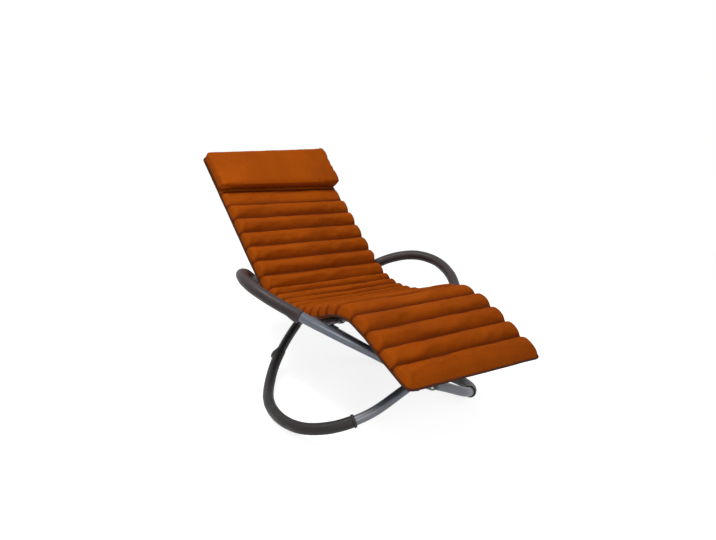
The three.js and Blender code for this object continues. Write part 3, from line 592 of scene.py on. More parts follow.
# Pivots: at each crossing a bolt runs from the outer hoop through the inner one into a threaded
# insert in the spine tube. Two toothed discs lock the hoops to each other; washers, a hexagon
# head and a plastic cap close the stack. All steel parts are zinc plated.
stack_gap = 0.0003
disc_radius = 0.023
disc_thickness = 0.0026
tooth_depth = 0.0011
bolt_radius = 0.005
bolt_hole_radius = 0.0053
bolt_depth = 0.031
bolt_head_radius = 0.0098
bolt_head_height = 0.0065
washer_radius = 0.012
washer_thickness = 0.002
bolt_cap_radius = 0.0095
bolt_cap_height = 0.009
bolt_cap_round = 0.0035
zinc_steel = plain_finish(
    "zinc_steel", (0.4, 0.41, 0.42, 1), (0.56, 0.57, 0.58, 1), 60.0, 1200.0, 0.00004, (0.26, 0.42),
    metal=1.0)
black_plastic = plain_finish(
    "black_plastic", (0.014, 0.014, 0.014, 1), (0.024, 0.024, 0.024, 1), 40.0, 1500.0, 0.00005,
    (0.4, 0.52))


def join_to(piece, *others):
    """Makes the others part of the piece."""
    take(piece)
    for other in others:
        other.select_set(True)
    bpy.ops.object.join()


def turned(name, x0, x1, radius, hole=0, count=48, bevel=0.0004, centre=(0, pivot_height), teeth=0.0):
    """A round piece on a line along X between x0 and x1, with a hole or teeth on its rim."""
    bpy.ops.object.select_all(action="DESELECT")
    bpy.ops.mesh.primitive_cylinder_add(
        vertices=count, radius=radius, depth=abs(x1 - x0), end_fill_type="NGON",
        location=((x0 + x1) / 2, *centre), rotation=(0, math.pi / 2, 0))
    piece = bpy.context.object
    piece.name = name
    piece.data.name = name
    bpy.ops.object.transform_apply(location=True, rotation=True, scale=True)
    bpy.ops.object.mode_set(mode="EDIT")
    if hole:
        bpy.ops.mesh.select_mode(type="FACE")
        bpy.ops.mesh.select_all(action="DESELECT")
        bpy.ops.object.mode_set(mode="OBJECT")
        for face in piece.data.polygons:
            face.select = abs(face.normal.x) > 0.9
        bpy.ops.object.mode_set(mode="EDIT")
        bpy.ops.mesh.inset(thickness=radius - hole)
        bpy.ops.mesh.bridge_edge_loops()
    bpy.ops.object.mode_set(mode="OBJECT")
    if hole:
        face_outwards(piece)
    if teeth:
        for vertex in piece.data.vertices:
            y, z = vertex.co.y - centre[0], vertex.co.z - centre[1]
            turn = math.atan2(z, y) / (2 * math.pi) * count
            if math.hypot(y, z) > radius * 0.8 and round(turn) % 4 in (0, 1):
                vertex.co.y = centre[0] + y * (1 - teeth / radius)
                vertex.co.z = centre[1] + z * (1 - teeth / radius)
    apply_modifier(piece, "BEVEL", width=bevel, segments=2, limit_method="ANGLE",
                   angle_limit=math.radians(40))
    return smooth(piece, 30)


for end, way in (("front", 1), ("rear", -1)):
    inner = pivot_x[end]
    outer = inner + way * hoop_stagger
    stack = inner + way * (coupler_flat / 2 + stack_gap)
    for place, body in (("inner", "inner_hoop"), ("outer", "outer_hoop")):
        disc = turned(f"{end}_{place}_toothed_disc", stack, stack + way * disc_thickness, disc_radius,
                      bolt_hole_radius, teeth=tooth_depth)
        hang_on(disc, body, zinc_steel, "steel", f"{end}_{place}_disc")
        stack += way * (disc_thickness + stack_gap)
    face = outer + way * (coupler_flat / 2 + stack_gap)
    near = inner - way * (coupler_flat / 2 + stack_gap)
    for name, x, body in (
            ("pivot", face, frame["nodes"][f"{end}_pivot_washer"]["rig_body"]), ("spine", near, "seat")):
        thickness = washer_thickness if name == "pivot" else -washer_thickness
        washer = turned(f"{end}_{name}_washer_ring", x, x + way * thickness, washer_radius, bolt_hole_radius)
        hang_on(washer, body, zinc_steel, "steel", f"{end}_{name}_washer")
    head = face + way * (washer_thickness + stack_gap)
    shank = turned(f"{end}_pivot_bolt_steel", near - way * bolt_depth, head + way * 0.001, bolt_radius,
                   count=24)
    hexagon = turned(f"{end}_bolt_head", head, head + way * bolt_head_height, bolt_head_radius, count=6,
                     bevel=0.0009)
    join_to(shank, hexagon)
    hang_on(shank, frame["nodes"][f"{end}_pivot_bolt"]["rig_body"], zinc_steel, "steel",
            f"{end}_pivot_bolt")
    cap_face = head + way * (bolt_head_height + stack_gap)
    cap = turned(f"{end}_bolt_dome", cap_face, cap_face + way * bolt_cap_height, bolt_cap_radius,
                 bevel=bolt_cap_round)
    hang_on(cap, frame["nodes"][f"{end}_bolt_cap"]["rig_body"], black_plastic, "plastic",
            f"{end}_bolt_cap")
    insert = frame["nodes"][f"{end}_spine_insert"]
    insert.data.materials.clear()
    insert.data.materials.append(zinc_steel)

# Spine and posts: a straight tube joins the two pivots under the seat. Two short posts stand on
# saddle pads on it and carry the hip bar and the knee bar; all joints are welded.
spine_radius = 0.0125
spine_wall = 0.002
spine_inset = 0.0216
spine_ends = (pivot_x["rear"] + spine_inset, pivot_x["front"] - spine_inset)
post_radius = 0.01
post_sink = 0.6
bead_reach = 0.0006
saddle_gap = 0.0003
saddle_length = 0.046
saddle_thickness = 0.003
rail_drop = 0.0126
rail_radius = 0.01
bar_radius = 0.0095
bar_shares = {"head": 0.03, "hip": 0.408, "knee": 0.75, "foot": 0.97}
post_feet = {"rear": (-0.074, "hip"), "front": (0.296, "knee")}
spine_line = np.array([(x, 0, pivot_height) for x in np.linspace(*spine_ends, 12)])
spine = bent_bar("spine_tube_pipe", spine_line, spine_radius, wall=spine_wall)
hang_on(spine, "seat", dark_paint, "frame_tube", "spine_tube")


def weld_bead(name, centre, axis, radius, size=0.0022, seed=1):
    """A bead of small overlapping ripples round a joint."""
    axis = Vector(axis).normalized()
    side = axis.orthogonal().normalized()
    other = axis.cross(side)
    turns = np.linspace(0, 2 * math.pi, 72, endpoint=False)
    points = [Vector(centre) + (side * math.cos(t) + other * math.sin(t)) * radius for t in turns]
    widths = size * (0.85 + 0.15 * np.sin(turns * 24 + seed)) * (1 + 0.1 * np.sin(turns * 3 + seed))
    return bent_bar(name, np.array(points), 1.0, widths, closed=True, detail=2)


for end, (foot_x, bar) in post_feet.items():
    foot = np.array([foot_x, 0, pivot_height])
    top = seat_frame(bar_shares[bar] * seat_length, -rail_drop)
    way = (top - foot) / np.linalg.norm(top - foot)
    low = foot + way * (spine_radius + saddle_thickness * post_sink)
    high = top - way * bar_radius * post_sink
    post = bent_bar(f"{end}_post_pipe", np.linspace(low, high, 8), post_radius)
    bead_foot = foot + way * (spine_radius + saddle_thickness + 0.0012)
    bead_low = weld_bead("bead", bead_foot, way, post_radius + bead_reach)
    bead_high = weld_bead("bead", top - way * (bar_radius + 0.0008), way, post_radius - bead_reach, seed=4)
    join_to(post, bead_low, bead_high)
    hang_on(post, "seat", silver_paint, "frame_tube", f"{end}_post")

    saddle = turned(f"{end}_post_saddle_pad", foot_x - saddle_length / 2, foot_x + saddle_length / 2,
                    spine_radius + saddle_gap + saddle_thickness, spine_radius + saddle_gap, bevel=0.0002)
    bpy.ops.object.mode_set(mode="EDIT")
    bpy.ops.mesh.select_all(action="SELECT")
    bpy.ops.mesh.bisect(plane_co=(0, 0, pivot_height), plane_no=(0, 0, 1), use_fill=True, clear_inner=True)
    bpy.ops.object.mode_set(mode="OBJECT")
    face_outwards(saddle)
    smooth(saddle, 30)
    hang_on(saddle, "seat", silver_paint, "frame_tube", f"{end}_post_saddle")

# Side rails and cross bars: two bent 20 mm tubes follow the seat line, and four straight bars are
# welded between them. Moulded plugs close the open ends.
rail_wall = 0.0014
rail_half_gauge = 0.215
rail_end_inset = 0.022
rail_step = 0.0095
bar_half = 0.2045
rail_runs = np.arange(rail_end_inset, seat_length - rail_end_inset + 0.004, rail_step)
rail_runs[-1] = seat_length - rail_end_inset
for name, side in (("left", 1), ("right", -1)):
    rail = bent_bar(f"{name}_rail_pipe", seat_frame(rail_runs, -rail_drop, side * rail_half_gauge),
                    rail_radius, wall=rail_wall)
    hang_on(rail, "seat", dark_paint, "frame_tube", f"{name}_side_rail")
for name, share in bar_shares.items():
    centre = seat_frame(share * seat_length, -rail_drop)
    ends = np.array([centre + (0, y, 0) for y in np.linspace(-bar_half, bar_half, 8)])
    bar = bent_bar(f"{name}_bar_pipe", ends, bar_radius)
    for side in (1, -1):
        bead_centre = centre + (0, side * (bar_half - 0.0008), 0)
        join_to(bar, weld_bead("bead", bead_centre, (0, 1, 0), bar_radius, seed=side))
    hang_on(bar, "seat", dark_paint, "frame_tube", f"{name}_cross_bar")

plug_stem_radius = 0.0078
plug_runs = np.array([-0.016, -0.0155, -0.0003, -0.0001, 0.0003, 0.0011, 0.0021, 0.0028, 0.0032])
plug_widths = np.array([0.9, 1, 1, 1, 1.27, 1.28, 1.2, 0.95, 0.35]) * plug_stem_radius
for name, side in (("left", 1), ("right", -1)):
    for end, run, way in (("head", rail_end_inset, -1), ("foot", seat_length - rail_end_inset, 1)):
        points = seat_frame(run + way * plug_runs, -rail_drop, side * rail_half_gauge)
        plug = bent_bar(f"{name}_{end}_rail_plug", points, 1.0, plug_widths)
        hang_on(plug, "seat", black_plastic, "plastic", f"{name}_{end}_plug")

# Arm brackets and rail lugs: a forged bracket welded under each armrest tube reaches in with a
# finger below the tongue of a lug on the rail. The edges are broken all round.
forging_front = {"arm_bracket": 0.2545, "rail_lug": 0.2665}
forging_edge = 0.0008
for name in ("left_arm_bracket", "right_arm_bracket", "left_rail_lug", "right_rail_lug"):
    node = frame["nodes"][name]
    forged = take(add_object(name + "_forging", node.data.copy()))
    bpy.ops.object.mode_set(mode="EDIT")
    bpy.ops.mesh.select_all(action="SELECT")
    bpy.ops.mesh.remove_doubles(threshold=0.00005)
    bpy.ops.mesh.dissolve_limited(angle_limit=math.radians(1))
    bpy.ops.mesh.select_all(action="SELECT")
    bpy.ops.mesh.bisect(plane_co=(forging_front[name.split("_", 1)[1]], 0, 0), plane_no=(1, 0, 0),
                        use_fill=True, clear_outer=True)
    bpy.ops.object.mode_set(mode="OBJECT")
    apply_modifier(forged, "BEVEL", width=forging_edge, segments=2, limit_method="ANGLE",
                   angle_limit=math.radians(50), use_clamp_overlap=True)
    apply_modifier(forged, "TRIANGULATE")
    smooth(forged, 30)
    paint = silver_paint if "bracket" in name else dark_paint
    hang_on(forged, node["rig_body"], paint, "frame_tube", name)

# Sling: one woven sheet of black polyester mesh, stretched over both rails. Its long edges wrap
# round the outer side of the rails, and stop short at the lugs.
sling_thickness = 0.0012
sling_height = -0.0014
wrap_gap = 0.0011
wrap_radius = rail_radius + wrap_gap
sling_end_gap = 0.0005
sling_lug_x = 0.266
sling_lug_half = 0.026
sling_sag = 0.0012
wrap_turn, lug_turn = math.radians(-62), math.radians(8)
sling_runs = np.linspace(
    rail_end_inset + sling_end_gap, seat_length - rail_end_inset - sling_end_gap, 170)
lug_run = np.interp(sling_lug_x, seat_line[:, 0], seat_run)
lowest = np.where(abs(sling_runs - lug_run) < sling_lug_half, lug_turn, wrap_turn)
wrap_shares = np.linspace(0, 1, 10)
span_y = np.linspace(-rail_half_gauge, rail_half_gauge, 46)
hollow = sling_sag * (1 - (span_y / rail_half_gauge) ** 2)
turns = math.pi / 2 + (lowest[:, None] - math.pi / 2) * wrap_shares[None, 1:]
wrap_y = rail_half_gauge + wrap_radius * np.cos(turns)
wrap_z = -rail_drop + wrap_radius * np.sin(turns)
sling_y = np.hstack([-wrap_y[:, ::-1], np.repeat(span_y[None], len(sling_runs), 0), wrap_y])
sling_z = np.hstack([wrap_z[:, ::-1], np.repeat((sling_height - hollow)[None], len(sling_runs), 0), wrap_z])
sling_points = seat_frame(np.repeat(sling_runs[:, None], sling_y.shape[1], 1), sling_z, sling_y)


def grid_faces(index):
    """The quads of a grid whose vertex numbers stand in rows and columns."""
    corners = (index[:-1, :-1], index[:-1, 1:], index[1:, 1:], index[1:, :-1])
    return np.stack(corners, axis=-1).reshape(-1, 4)


def lay_out(mesh, flat):
    """Gives a mesh its UV map in metres, from one flat place for each vertex."""
    loops = np.empty(len(mesh.loops), int)
    mesh.loops.foreach_get("vertex_index", loops)
    mesh.uv_layers.new(name="cloth").data.foreach_set("uv", flat[loops].ravel())


def cloth_grid(name, points, u, v):
    """A sheet of quads over a grid of points, with its UV map in metres."""
    rows, columns = points.shape[:2]
    quads = grid_faces(np.arange(rows * columns).reshape(rows, columns))
    mesh = bpy.data.meshes.new(name)
    mesh.from_pydata(points.reshape(-1, 3).tolist(), [], quads.tolist())
    lay_out(mesh, np.stack(np.broadcast_arrays(u, v), axis=-1).reshape(-1, 2))
    return add_object(name, mesh)


# Weave: over-and-under threads of any cloth, from a UV map in metres
plain_weave, given, result = shared_effect(
    "plain_weave", {"Vector": "vector", "Threads": "value", "Other Threads": "value"},
    {"Height": "value"})
split = put_node(plain_weave, "ShaderNodeSeparateXYZ", Vector=given["Vector"])
waves = []
for axis, count in ((0, given["Threads"]), (1, given["Other Threads"])):
    turn = worked_out(plain_weave, "MULTIPLY", split.outputs[axis], count)
    turn = worked_out(plain_weave, "MULTIPLY", turn, math.pi)
    waves.append(worked_out(plain_weave, "SINE", turn))
over = worked_out(plain_weave, "GREATER_THAN", worked_out(plain_weave, "MULTIPLY", *waves), 0.0)
tall = [worked_out(plain_weave, "ABSOLUTE", wave) for wave in waves]
weave = put_node(plain_weave, "ShaderNodeMix", {"data_type": "FLOAT"}, _0=over, _2=tall[0], _3=tall[1])
plain_weave.links.new(weave.outputs[0], result["Height"])


def cloth_finish(name, dark, light, threads, other_threads, depth, patch_scale=7.0, seam_painted_shade=None,
                 **constants):
    """Woven cloth: patchy dye, threads in relief with painted shade between them, painted shade at seams."""
    finish = bpy.data.materials.new(name)
    tree = blank_tree(finish)
    where = put_node(tree, "ShaderNodeTexCoord")
    tone = put_node(tree, "ShaderNodeGroup", {"node_tree": patchy_tone},
                    Vector=where.outputs["Object"], Scale=patch_scale, Dark=dark, Light=light)
    weave = put_node(tree, "ShaderNodeGroup", {"node_tree": plain_weave},
                     Vector=where.outputs["UV"], Threads=threads, Other_Threads=other_threads)
    # Painted shade: the colour darkens where the weave height is low, between the threads.
    shade = put_node(tree, "ShaderNodeMapRange", Value=weave.outputs["Height"], To_Min=0.82, To_Max=1.06)
    slub = put_node(tree, "ShaderNodeTexNoise", Vector=where.outputs["Object"], Scale=240.0, Detail=2.0)
    slub = put_node(tree, "ShaderNodeMapRange", Value=slub.outputs[0], From_Min=0.3, From_Max=0.7,
                    To_Min=0.9, To_Max=1.1)
    shade = worked_out(tree, "MULTIPLY", shade.outputs[0], slub.outputs[0])
    colour = put_node(tree, "ShaderNodeVectorMath", {"operation": "SCALE"},
                      _0=tone.outputs["Colour"], Scale=shade).outputs[0]
    # Painted shade: the seam attribute darkens the cloth towards the given seam colour along the seams.
    if seam_painted_shade:
        seam = put_node(tree, "ShaderNodeAttribute", {"attribute_name": "seam"})
        colour = mixed_colour(tree, seam.outputs["Fac"], colour, seam_painted_shade)
    relief = put_node(tree, "ShaderNodeBump", Strength=1.0, Distance=depth, Height=weave.outputs["Height"])
    creased = put_node(tree, "ShaderNodeGroup", {"node_tree": fine_relief},
                       Vector=where.outputs["Object"], Scale=70.0, Depth=depth * 2)
    lean = put_node(tree, "ShaderNodeVectorMath", {"operation": "ADD"},
                    _0=relief.outputs[0], _1=creased.outputs[0])
    lean = put_node(tree, "ShaderNodeVectorMath", {"operation": "NORMALIZE"}, _0=lean.outputs[0])
    gloss = put_node(tree, "ShaderNodeMapRange", Value=tone.outputs["Mask"], To_Min=0.84, To_Max=0.94)
    shader = put_node(tree, "ShaderNodeBsdfPrincipled", Base_Color=colour, Roughness=gloss.outputs[0],
                      Normal=lean.outputs[0])
    for key, value in constants.items():
        shader.inputs[key.replace("_", " ")].default_value = value
    put_node(tree, "ShaderNodeOutputMaterial", Surface=shader.outputs[0])
    return finish


sling_mesh = cloth_finish("sling_mesh", (0.016, 0.015, 0.015, 1), (0.028, 0.026, 0.026, 1), 900.0, 900.0,
                          0.0003, Specular_IOR_Level=0.4)
sling = cloth_grid("sling_cloth", sling_points, sling_runs[:, None], sling_y)
apply_modifier(sling, "SOLIDIFY", thickness=sling_thickness, offset=0)
smooth(sling, 50)
hang_on(sling, "seat", sling_mesh, "sling_mesh", "sling")

# Bands: two flat elastic bands, sewn under the cushion's long edges, pass below both rails and
# keep the cushion on the seat.
webbing_thickness = 0.0017
webbing_shares = np.array([-1, -0.985, -0.94, -0.6, -0.2, 0.2, 0.6, 0.94, 0.985, 1])
band_width = 0.038
band_shares = {"back": 0.27, "leg": 0.89}
band_half = 0.2319
band_low = -0.0253
band_lip = -0.0013
strap_web = cloth_finish("strap_web", (0.03, 0.012, 0.007, 1), (0.05, 0.019, 0.011, 1), 420.0, 900.0,
                         0.0004, Specular_IOR_Level=0.3)


def webbing(name, line, across, width):
    """A flat band with rounded edges along a line, as wide as said in the across direction."""
    points = line[:, None] + webbing_shares[None, :, None] * np.array(across) * width / 2
    band = cloth_grid(name, points, run_of(line)[:, None], webbing_shares[None] * width / 2)
    apply_modifier(band, "SOLIDIFY", thickness=webbing_thickness, offset=0)
    apply_modifier(band, "BEVEL", width=0.0004, segments=2, limit_method="ANGLE",
                   angle_limit=math.radians(50))
    return smooth(band, 50)


for name, share in band_shares.items():
    run = share * seat_length
    # Across and off the seat line, from the middle out to the sewn edge
    sewn_half = [(0, band_low), (0.12, band_low), (0.2, band_low), (band_half - 0.006, band_low),
                 (band_half - 0.0016, band_low + 0.0016), (band_half, band_low + 0.006), (band_half, -0.013),
                 (band_half, band_lip - 0.004), (band_half + 0.0012, band_lip - 0.0012),
                 (band_half + 0.004, band_lip), (band_half + 0.0125, band_lip)]
    path = [(-y, z) for y, z in sewn_half[:0:-1]] + sewn_half
    line = smooth_through([seat_frame(run, z, y) for y, z in path], False, 5)
    along = seat_frame(run + 0.001) - seat_frame(run - 0.001)
    band = webbing(f"{name}_elastic_band", line, along / np.linalg.norm(along), band_width)
    hang_on(band, "seat", strap_web, "strap_web", f"{name}_band")

# Pillow strap: wide webbing sewn to the head end of the pillow. It lies over the head end of the
# cushion and hooks round the head bar.
pillow_strap_width = 0.12
strap_face = -0.0016
hook_radius = bar_radius + 0.0006 + webbing_thickness / 2
head_bar_run = bar_shares["head"] * seat_length
# Run from the head end and height off the seat line, from the pillow down and round the bar
path = [(strap_face, height) for height in (0.0345, 0.026, 0.014, 0.001)] + [(0.004, -0.0075)]
for degrees in range(-112, 13, 15):
    turn = math.radians(degrees)
    path.append((head_bar_run + hook_radius * math.cos(turn), -rail_drop + hook_radius * math.sin(turn)))
head_end = seat_frame(0, 0.0, 0.0)
down_the_seat = seat_frame(0.02) - seat_frame(0)
off_the_seat = seat_frame(0, 0.01) - seat_frame(0)
line = smooth_through(
    [head_end + run * down_the_seat / 0.02 + height * off_the_seat / 0.01 for run, height in path], False, 5)
strap = webbing("pillow_strap_web", line, (0, 1, 0), pillow_strap_width)
hang_on(strap, "seat", strap_web, "strap_web", "pillow_strap")

# Roll cushion: one long pad of orange canvas, sewn across into twenty-three stuffed rolls and a
# last puffed panel at the foot. Dark piping binds its whole edge. Where an armrest passes close
# by, the edge is pressed in.
roll_pitches = [0.068] * 10 + [0.049] * 9 + [0.072] * 4
last_panel_length = 0.085
panel_scale = seat_length / (sum(roll_pitches) + last_panel_length)
seam_runs = np.concatenate([[0], np.cumsum(roll_pitches)]) * panel_scale
roll_height = 0.043
pressed_roll_height = 0.024
pressed_rolls = 3
next_roll_share = 0.74
roll_unevenness = 0.025
crown_power = 0.55
seam_height = 0.0195
hip_seam_height = 0.0255
hip_seams = range(11, 19)
edge_height = 0.0075
last_panel_heights = (
    (0, 0.0195), (0.06, 0.027), (0.16, 0.0345), (0.3, 0.0385), (0.45, 0.0392), (0.6, 0.0365),
    (0.75, 0.0305), (0.88, 0.0215), (0.96, 0.0135), (1, 0.0075))
piping_radius = 0.0034
piping_half = 0.2742
piping_height = 0.006
piping_corner = 0.02
piping_clear = 0.0003
foot_skew = {-1: -0.008, 1: 0.006}
foot_flare = {-1: 0.0, 1: 0.006}
roll_end_width = 0.021
seam_end_width = 0.011
pressed_end_width = 0.05
seam_draw_in = 0.0022
puff_limit = 0.003
edge_puff = 0.0006
puff_growth = 0.09
pressed_puff_share = 0.1
cushion_pressure = 4.0
cushion_shrink = -0.01
# Wave, amount and seed of each slow wander: of the edges, the seams and the gathers along them
edge_wander = (0.045, 0.0005, 11)
seam_wander = (0.06, 0.0012, 100)
seam_gathers = ((0.011, 0.0011, 300), (0.027, 0.001, 500))
seam_gather_reach = 0.009
side_gather = (0.014, 0.0012, 700)
side_gather_place = 0.012
side_gather_reach = 0.01
flare_length = 0.1
skew_length = 0.16
underside = 0.0006
seam_shade_reach = 0.0065
cloth_width = 0.54
steps_per_roll = 8
last_panel_steps = 13
end_steps = 9
flat_columns = 71
chance = np.random.default_rng(7)


def wander(positions, wave, amount, seed):
    """A slow random wave of that length and amount at the positions, the same on every run."""
    count = int((np.max(positions) - np.min(positions)) / wave) + 4
    knots = np.random.default_rng(seed).uniform(-1, 1, count)
    at = (positions - np.min(positions)) / wave + 1
    low = np.floor(at).astype(int)
    t = at - low
    a, b, c, d = (knots[np.clip(low + i, 0, len(knots) - 1)] for i in (-1, 0, 1, 2))
    return amount * (b + 0.5 * t * (c - a + t * (2 * a - 5 * b + 4 * c - d + t * (3 * (b - c) + d - a))))


def clear_of_hoops(points, need):
    """Moves points inwards until each is that far from the line of either hoop."""
    points = points.copy()
    lines = np.vstack(list(hoop_loops.values()))
    for _ in range(12):
        gaps = np.linalg.norm(points[:, None] - lines[None], axis=2).min(axis=1)
        points[:, 1] -= np.sign(points[:, 1]) * np.maximum(need - gaps, 0)
    return points


edge_runs = np.linspace(0, seat_length, 400)
edge_half = {}
for side in (1, -1):
    line = seat_frame(edge_runs, piping_height, np.full(400, side * piping_half))
    line = clear_of_hoops(line, arm_sleeve_radius + piping_radius + piping_clear)
    wave, amount, seed = edge_wander
    half = abs(line[:, 1]) + wander(edge_runs, wave, amount, seed + side)
    half += foot_flare[side] * np.clip(1 - (seat_length - edge_runs) / flare_length, 0, 1) ** 2
    from_end = np.minimum(edge_runs, seat_length - edge_runs)
    inside = np.maximum(piping_corner - from_end, 0)
    edge_half[side] = np.minimum(half, piping_half + foot_flare[side]) - (
        piping_corner - np.sqrt(np.maximum(piping_corner ** 2 - inside ** 2, 0)))

runs, tops, crowns = [], [], []
for roll, (start, pitch) in enumerate(zip(seam_runs, roll_pitches)):
    top = pressed_roll_height if roll < pressed_rolls else roll_height
    top *= 1 + chance.uniform(-roll_unevenness, roll_unevenness)
    top *= next_roll_share if roll == pressed_rolls else 1
    for step in range(steps_per_roll):
        share = step / steps_per_roll
        crown = math.sin(math.pi * share) ** crown_power
        low, high = (hip_seam_height if seam in hip_seams else seam_height for seam in (roll, roll + 1))
        foot = low + (high - low) * share
        runs.append(start + pitch * panel_scale * share)
        tops.append(foot + (top - foot) * crown)
        crowns.append(crown)
last_run = seat_length - seam_runs[-1]
for share in np.linspace(0, 1, last_panel_steps):
    runs.append(seam_runs[-1] + last_run * share)
    tops.append(np.interp(share, *zip(*last_panel_heights)))
    crowns.append(min(1, math.sin(math.pi * min(share, 0.5)) ** crown_power) if share < 1 else 1)
tops[0] = edge_height
tops[1] = edge_height + 0.8 * (tops[1] - edge_height)
runs, tops, crowns = map(np.array, (runs, tops, crowns))
row_count = len(runs)

lower = np.minimum(edge_height, tops)
turn = np.linspace(0, math.pi / 2, end_steps)[None]
cross = []
for side in (-1, 1):
    half = np.interp(runs, edge_runs, edge_half[side]) - piping_radius * 0.6 - seam_draw_in * (1 - crowns)
    width = seam_end_width + (roll_end_width - seam_end_width) * crowns
    width[:pressed_rolls * steps_per_roll] = pressed_end_width
    y = half[:, None] - width[:, None] * (1 - np.cos(turn))
    z = lower[:, None] + (tops - lower)[:, None] * np.sin(turn)
    cross.append((side * y, z))
shares = np.linspace(0, 1, flat_columns + 2)[None, 1:-1]
middle_y = cross[0][0][:, -1:] * (1 - shares) + cross[1][0][:, -1:] * shares
middle_z = np.repeat(tops[:, None], flat_columns, 1)
top_y = np.hstack([cross[0][0], middle_y, cross[1][0][:, ::-1]])
top_z = np.hstack([cross[0][1], middle_z, cross[1][1][:, ::-1]])
column_count = top_y.shape[1]
seam_rows = np.zeros(row_count, bool)
seam_rows[:(len(roll_pitches) + 1) * steps_per_roll:steps_per_roll] = True
cloth_across = np.linspace(0, cloth_width, column_count)
run_grid = np.repeat(runs[:, None], column_count, 1)
wave, amount, seed = seam_wander
for row in np.flatnonzero(seam_rows)[1:]:
    run_grid[row] += wander(cloth_across, wave, amount, seed + row)


def skewed(run, y):
    """The foot edge isn't quite square: its run shifts a little from one side to the other."""
    share = (np.asarray(y) / piping_half + 1) / 2
    shift = foot_skew[-1] + (foot_skew[1] - foot_skew[-1]) * share
    return run + shift * np.clip(1 - (seat_length - run) / skew_length, 0, 1)


run_grid = skewed(run_grid, top_y)
top_points = seat_frame(run_grid, top_z, top_y)


def puff(piece, held, cap, pressure, shrink):
    """Blows a skin up as cloth. Held points stay, and no point moves further than its cap."""
    before = corners_of(piece)
    group = piece.vertex_groups.new(name="held")
    group.add([int(i) for i in np.flatnonzero(held)], 1.0, "REPLACE")
    take(piece)
    cloth = piece.modifiers.new("cloth", "CLOTH")
    cloth.settings.vertex_group_mass = "held"
    cloth.settings.quality = 4
    cloth.settings.use_pressure = True
    cloth.settings.uniform_pressure_force = pressure
    cloth.settings.shrink_min = shrink
    cloth.settings.effector_weights.gravity = 0
    cloth.point_cache.frame_start = 1
    cloth.point_cache.frame_end = 20
    for step in range(1, 21):
        bpy.context.scene.frame_set(step)
    bpy.ops.object.modifier_apply(modifier=cloth.name)
    bpy.context.scene.frame_set(1)
    piece.vertex_groups.clear()
    move = corners_of(piece) - before
    size = np.linalg.norm(move, axis=1, keepdims=True)
    return before + move * np.minimum(1, np.reshape(cap, (-1, 1)) / np.maximum(size, 1e-9))


skin = cloth_grid("cushion_skin", top_points, run_grid, top_y)
held = np.zeros((row_count, column_count), bool)
held[seam_rows] = True
held[-1] = True
held[:, [0, -1]] = True
edge_gap = np.minimum(abs(top_y - top_y[:, :1]), abs(top_y - top_y[:, -1:]))
cap = np.minimum(puff_limit, edge_puff + puff_growth * edge_gap)
cap[:pressed_rolls * steps_per_roll] *= pressed_puff_share
puffed = puff(skin, held.ravel(), cap.ravel(), cushion_pressure, cushion_shrink)
top_points = puffed.reshape(top_points.shape)
bpy.data.objects.remove(skin)

# Puckers: short gathers where the seams and the piping pull the canvas together
seam_gap = abs(runs[:, None] - seam_runs[None]).min(axis=1)
for row in range(row_count):
    seam = int(abs(runs[row] - seam_runs).argmin())
    strength = math.exp(-(seam_gap[row] / seam_gather_reach) ** 2) * (0 if seam_rows[row] else 1)
    gather = sum(wander(cloth_across, wave, amount, seed + seam) for wave, amount, seed in seam_gathers)
    from_edge = np.clip(edge_gap[row] / 0.02, 0, 1)
    lift = seat_frame(runs[row], 0.01) - seat_frame(runs[row])
    top_points[row] += strength * gather[:, None] * from_edge[:, None] * lift / 0.01
near_side = np.exp(-((edge_gap - side_gather_place) / side_gather_reach) ** 2)
wave, amount, seed = side_gather
for side, columns in ((-1, slice(0, column_count // 2)), (1, slice(column_count // 2, column_count))):
    gather = wander(runs, wave, amount, seed + side)
    top_points[:, columns, 2] += near_side[:, columns] * gather[:, None] * crowns[:, None]

under_columns = np.arange(0, column_count, 4)
under_columns[-1] = column_count - 1
under_y = top_y[:, under_columns]
under_points = seat_frame(run_grid[:, under_columns], underside, under_y)
all_points = np.concatenate([top_points.reshape(-1, 3), under_points.reshape(-1, 3)])
top_index = np.arange(row_count * column_count).reshape(row_count, column_count)
under_index = np.arange(row_count * len(under_columns)).reshape(row_count, -1) + row_count * column_count
faces = grid_faces(top_index).tolist() + grid_faces(under_index)[:, ::-1].tolist()
for c, way in ((0, 1), (-1, -1)):
    quads = np.stack([top_index[:-1, c], top_index[1:, c], under_index[1:, c], under_index[:-1, c]], axis=-1)
    faces += quads[:, ::way].tolist()
for r, way in ((0, -1), (-1, 1)):
    for k in range(len(under_columns) - 1):
        upper = top_index[r, under_columns[k]:under_columns[k + 1] + 1].tolist()
        faces.append(([under_index[r, k + 1], under_index[r, k]] + upper)[::way])
mesh = bpy.data.meshes.new("roll_cushion_pad")
mesh.from_pydata(all_points.tolist(), [], faces)
flat_u = np.concatenate([run_grid.ravel(), np.repeat(runs, len(under_columns))])
steps = np.linalg.norm(np.diff(top_points, axis=1), axis=2)
laid_flat = np.cumsum(np.hstack([np.zeros((row_count, 1)), steps]), axis=1)
flat_v = np.concatenate([laid_flat.ravel(), under_y.ravel()])
lay_out(mesh, np.stack([flat_u, flat_v], 1))
# Painted shade in the valleys: the seam attribute is 1 at each seam and fades over a few millimetres.
seam_painted_shade_mask = np.concatenate([np.repeat(np.exp(-(seam_gap / seam_shade_reach) ** 2), column_count),
                            np.zeros(under_index.size)])
mesh.attributes.new("seam", "FLOAT", "POINT").data.foreach_set("value", seam_painted_shade_mask)
cushion = add_object("roll_cushion_pad", mesh)
face_outwards(cushion)
apply_modifier(cushion, "SUBSURF", levels=1, render_levels=1)
smooth(cushion, 75)

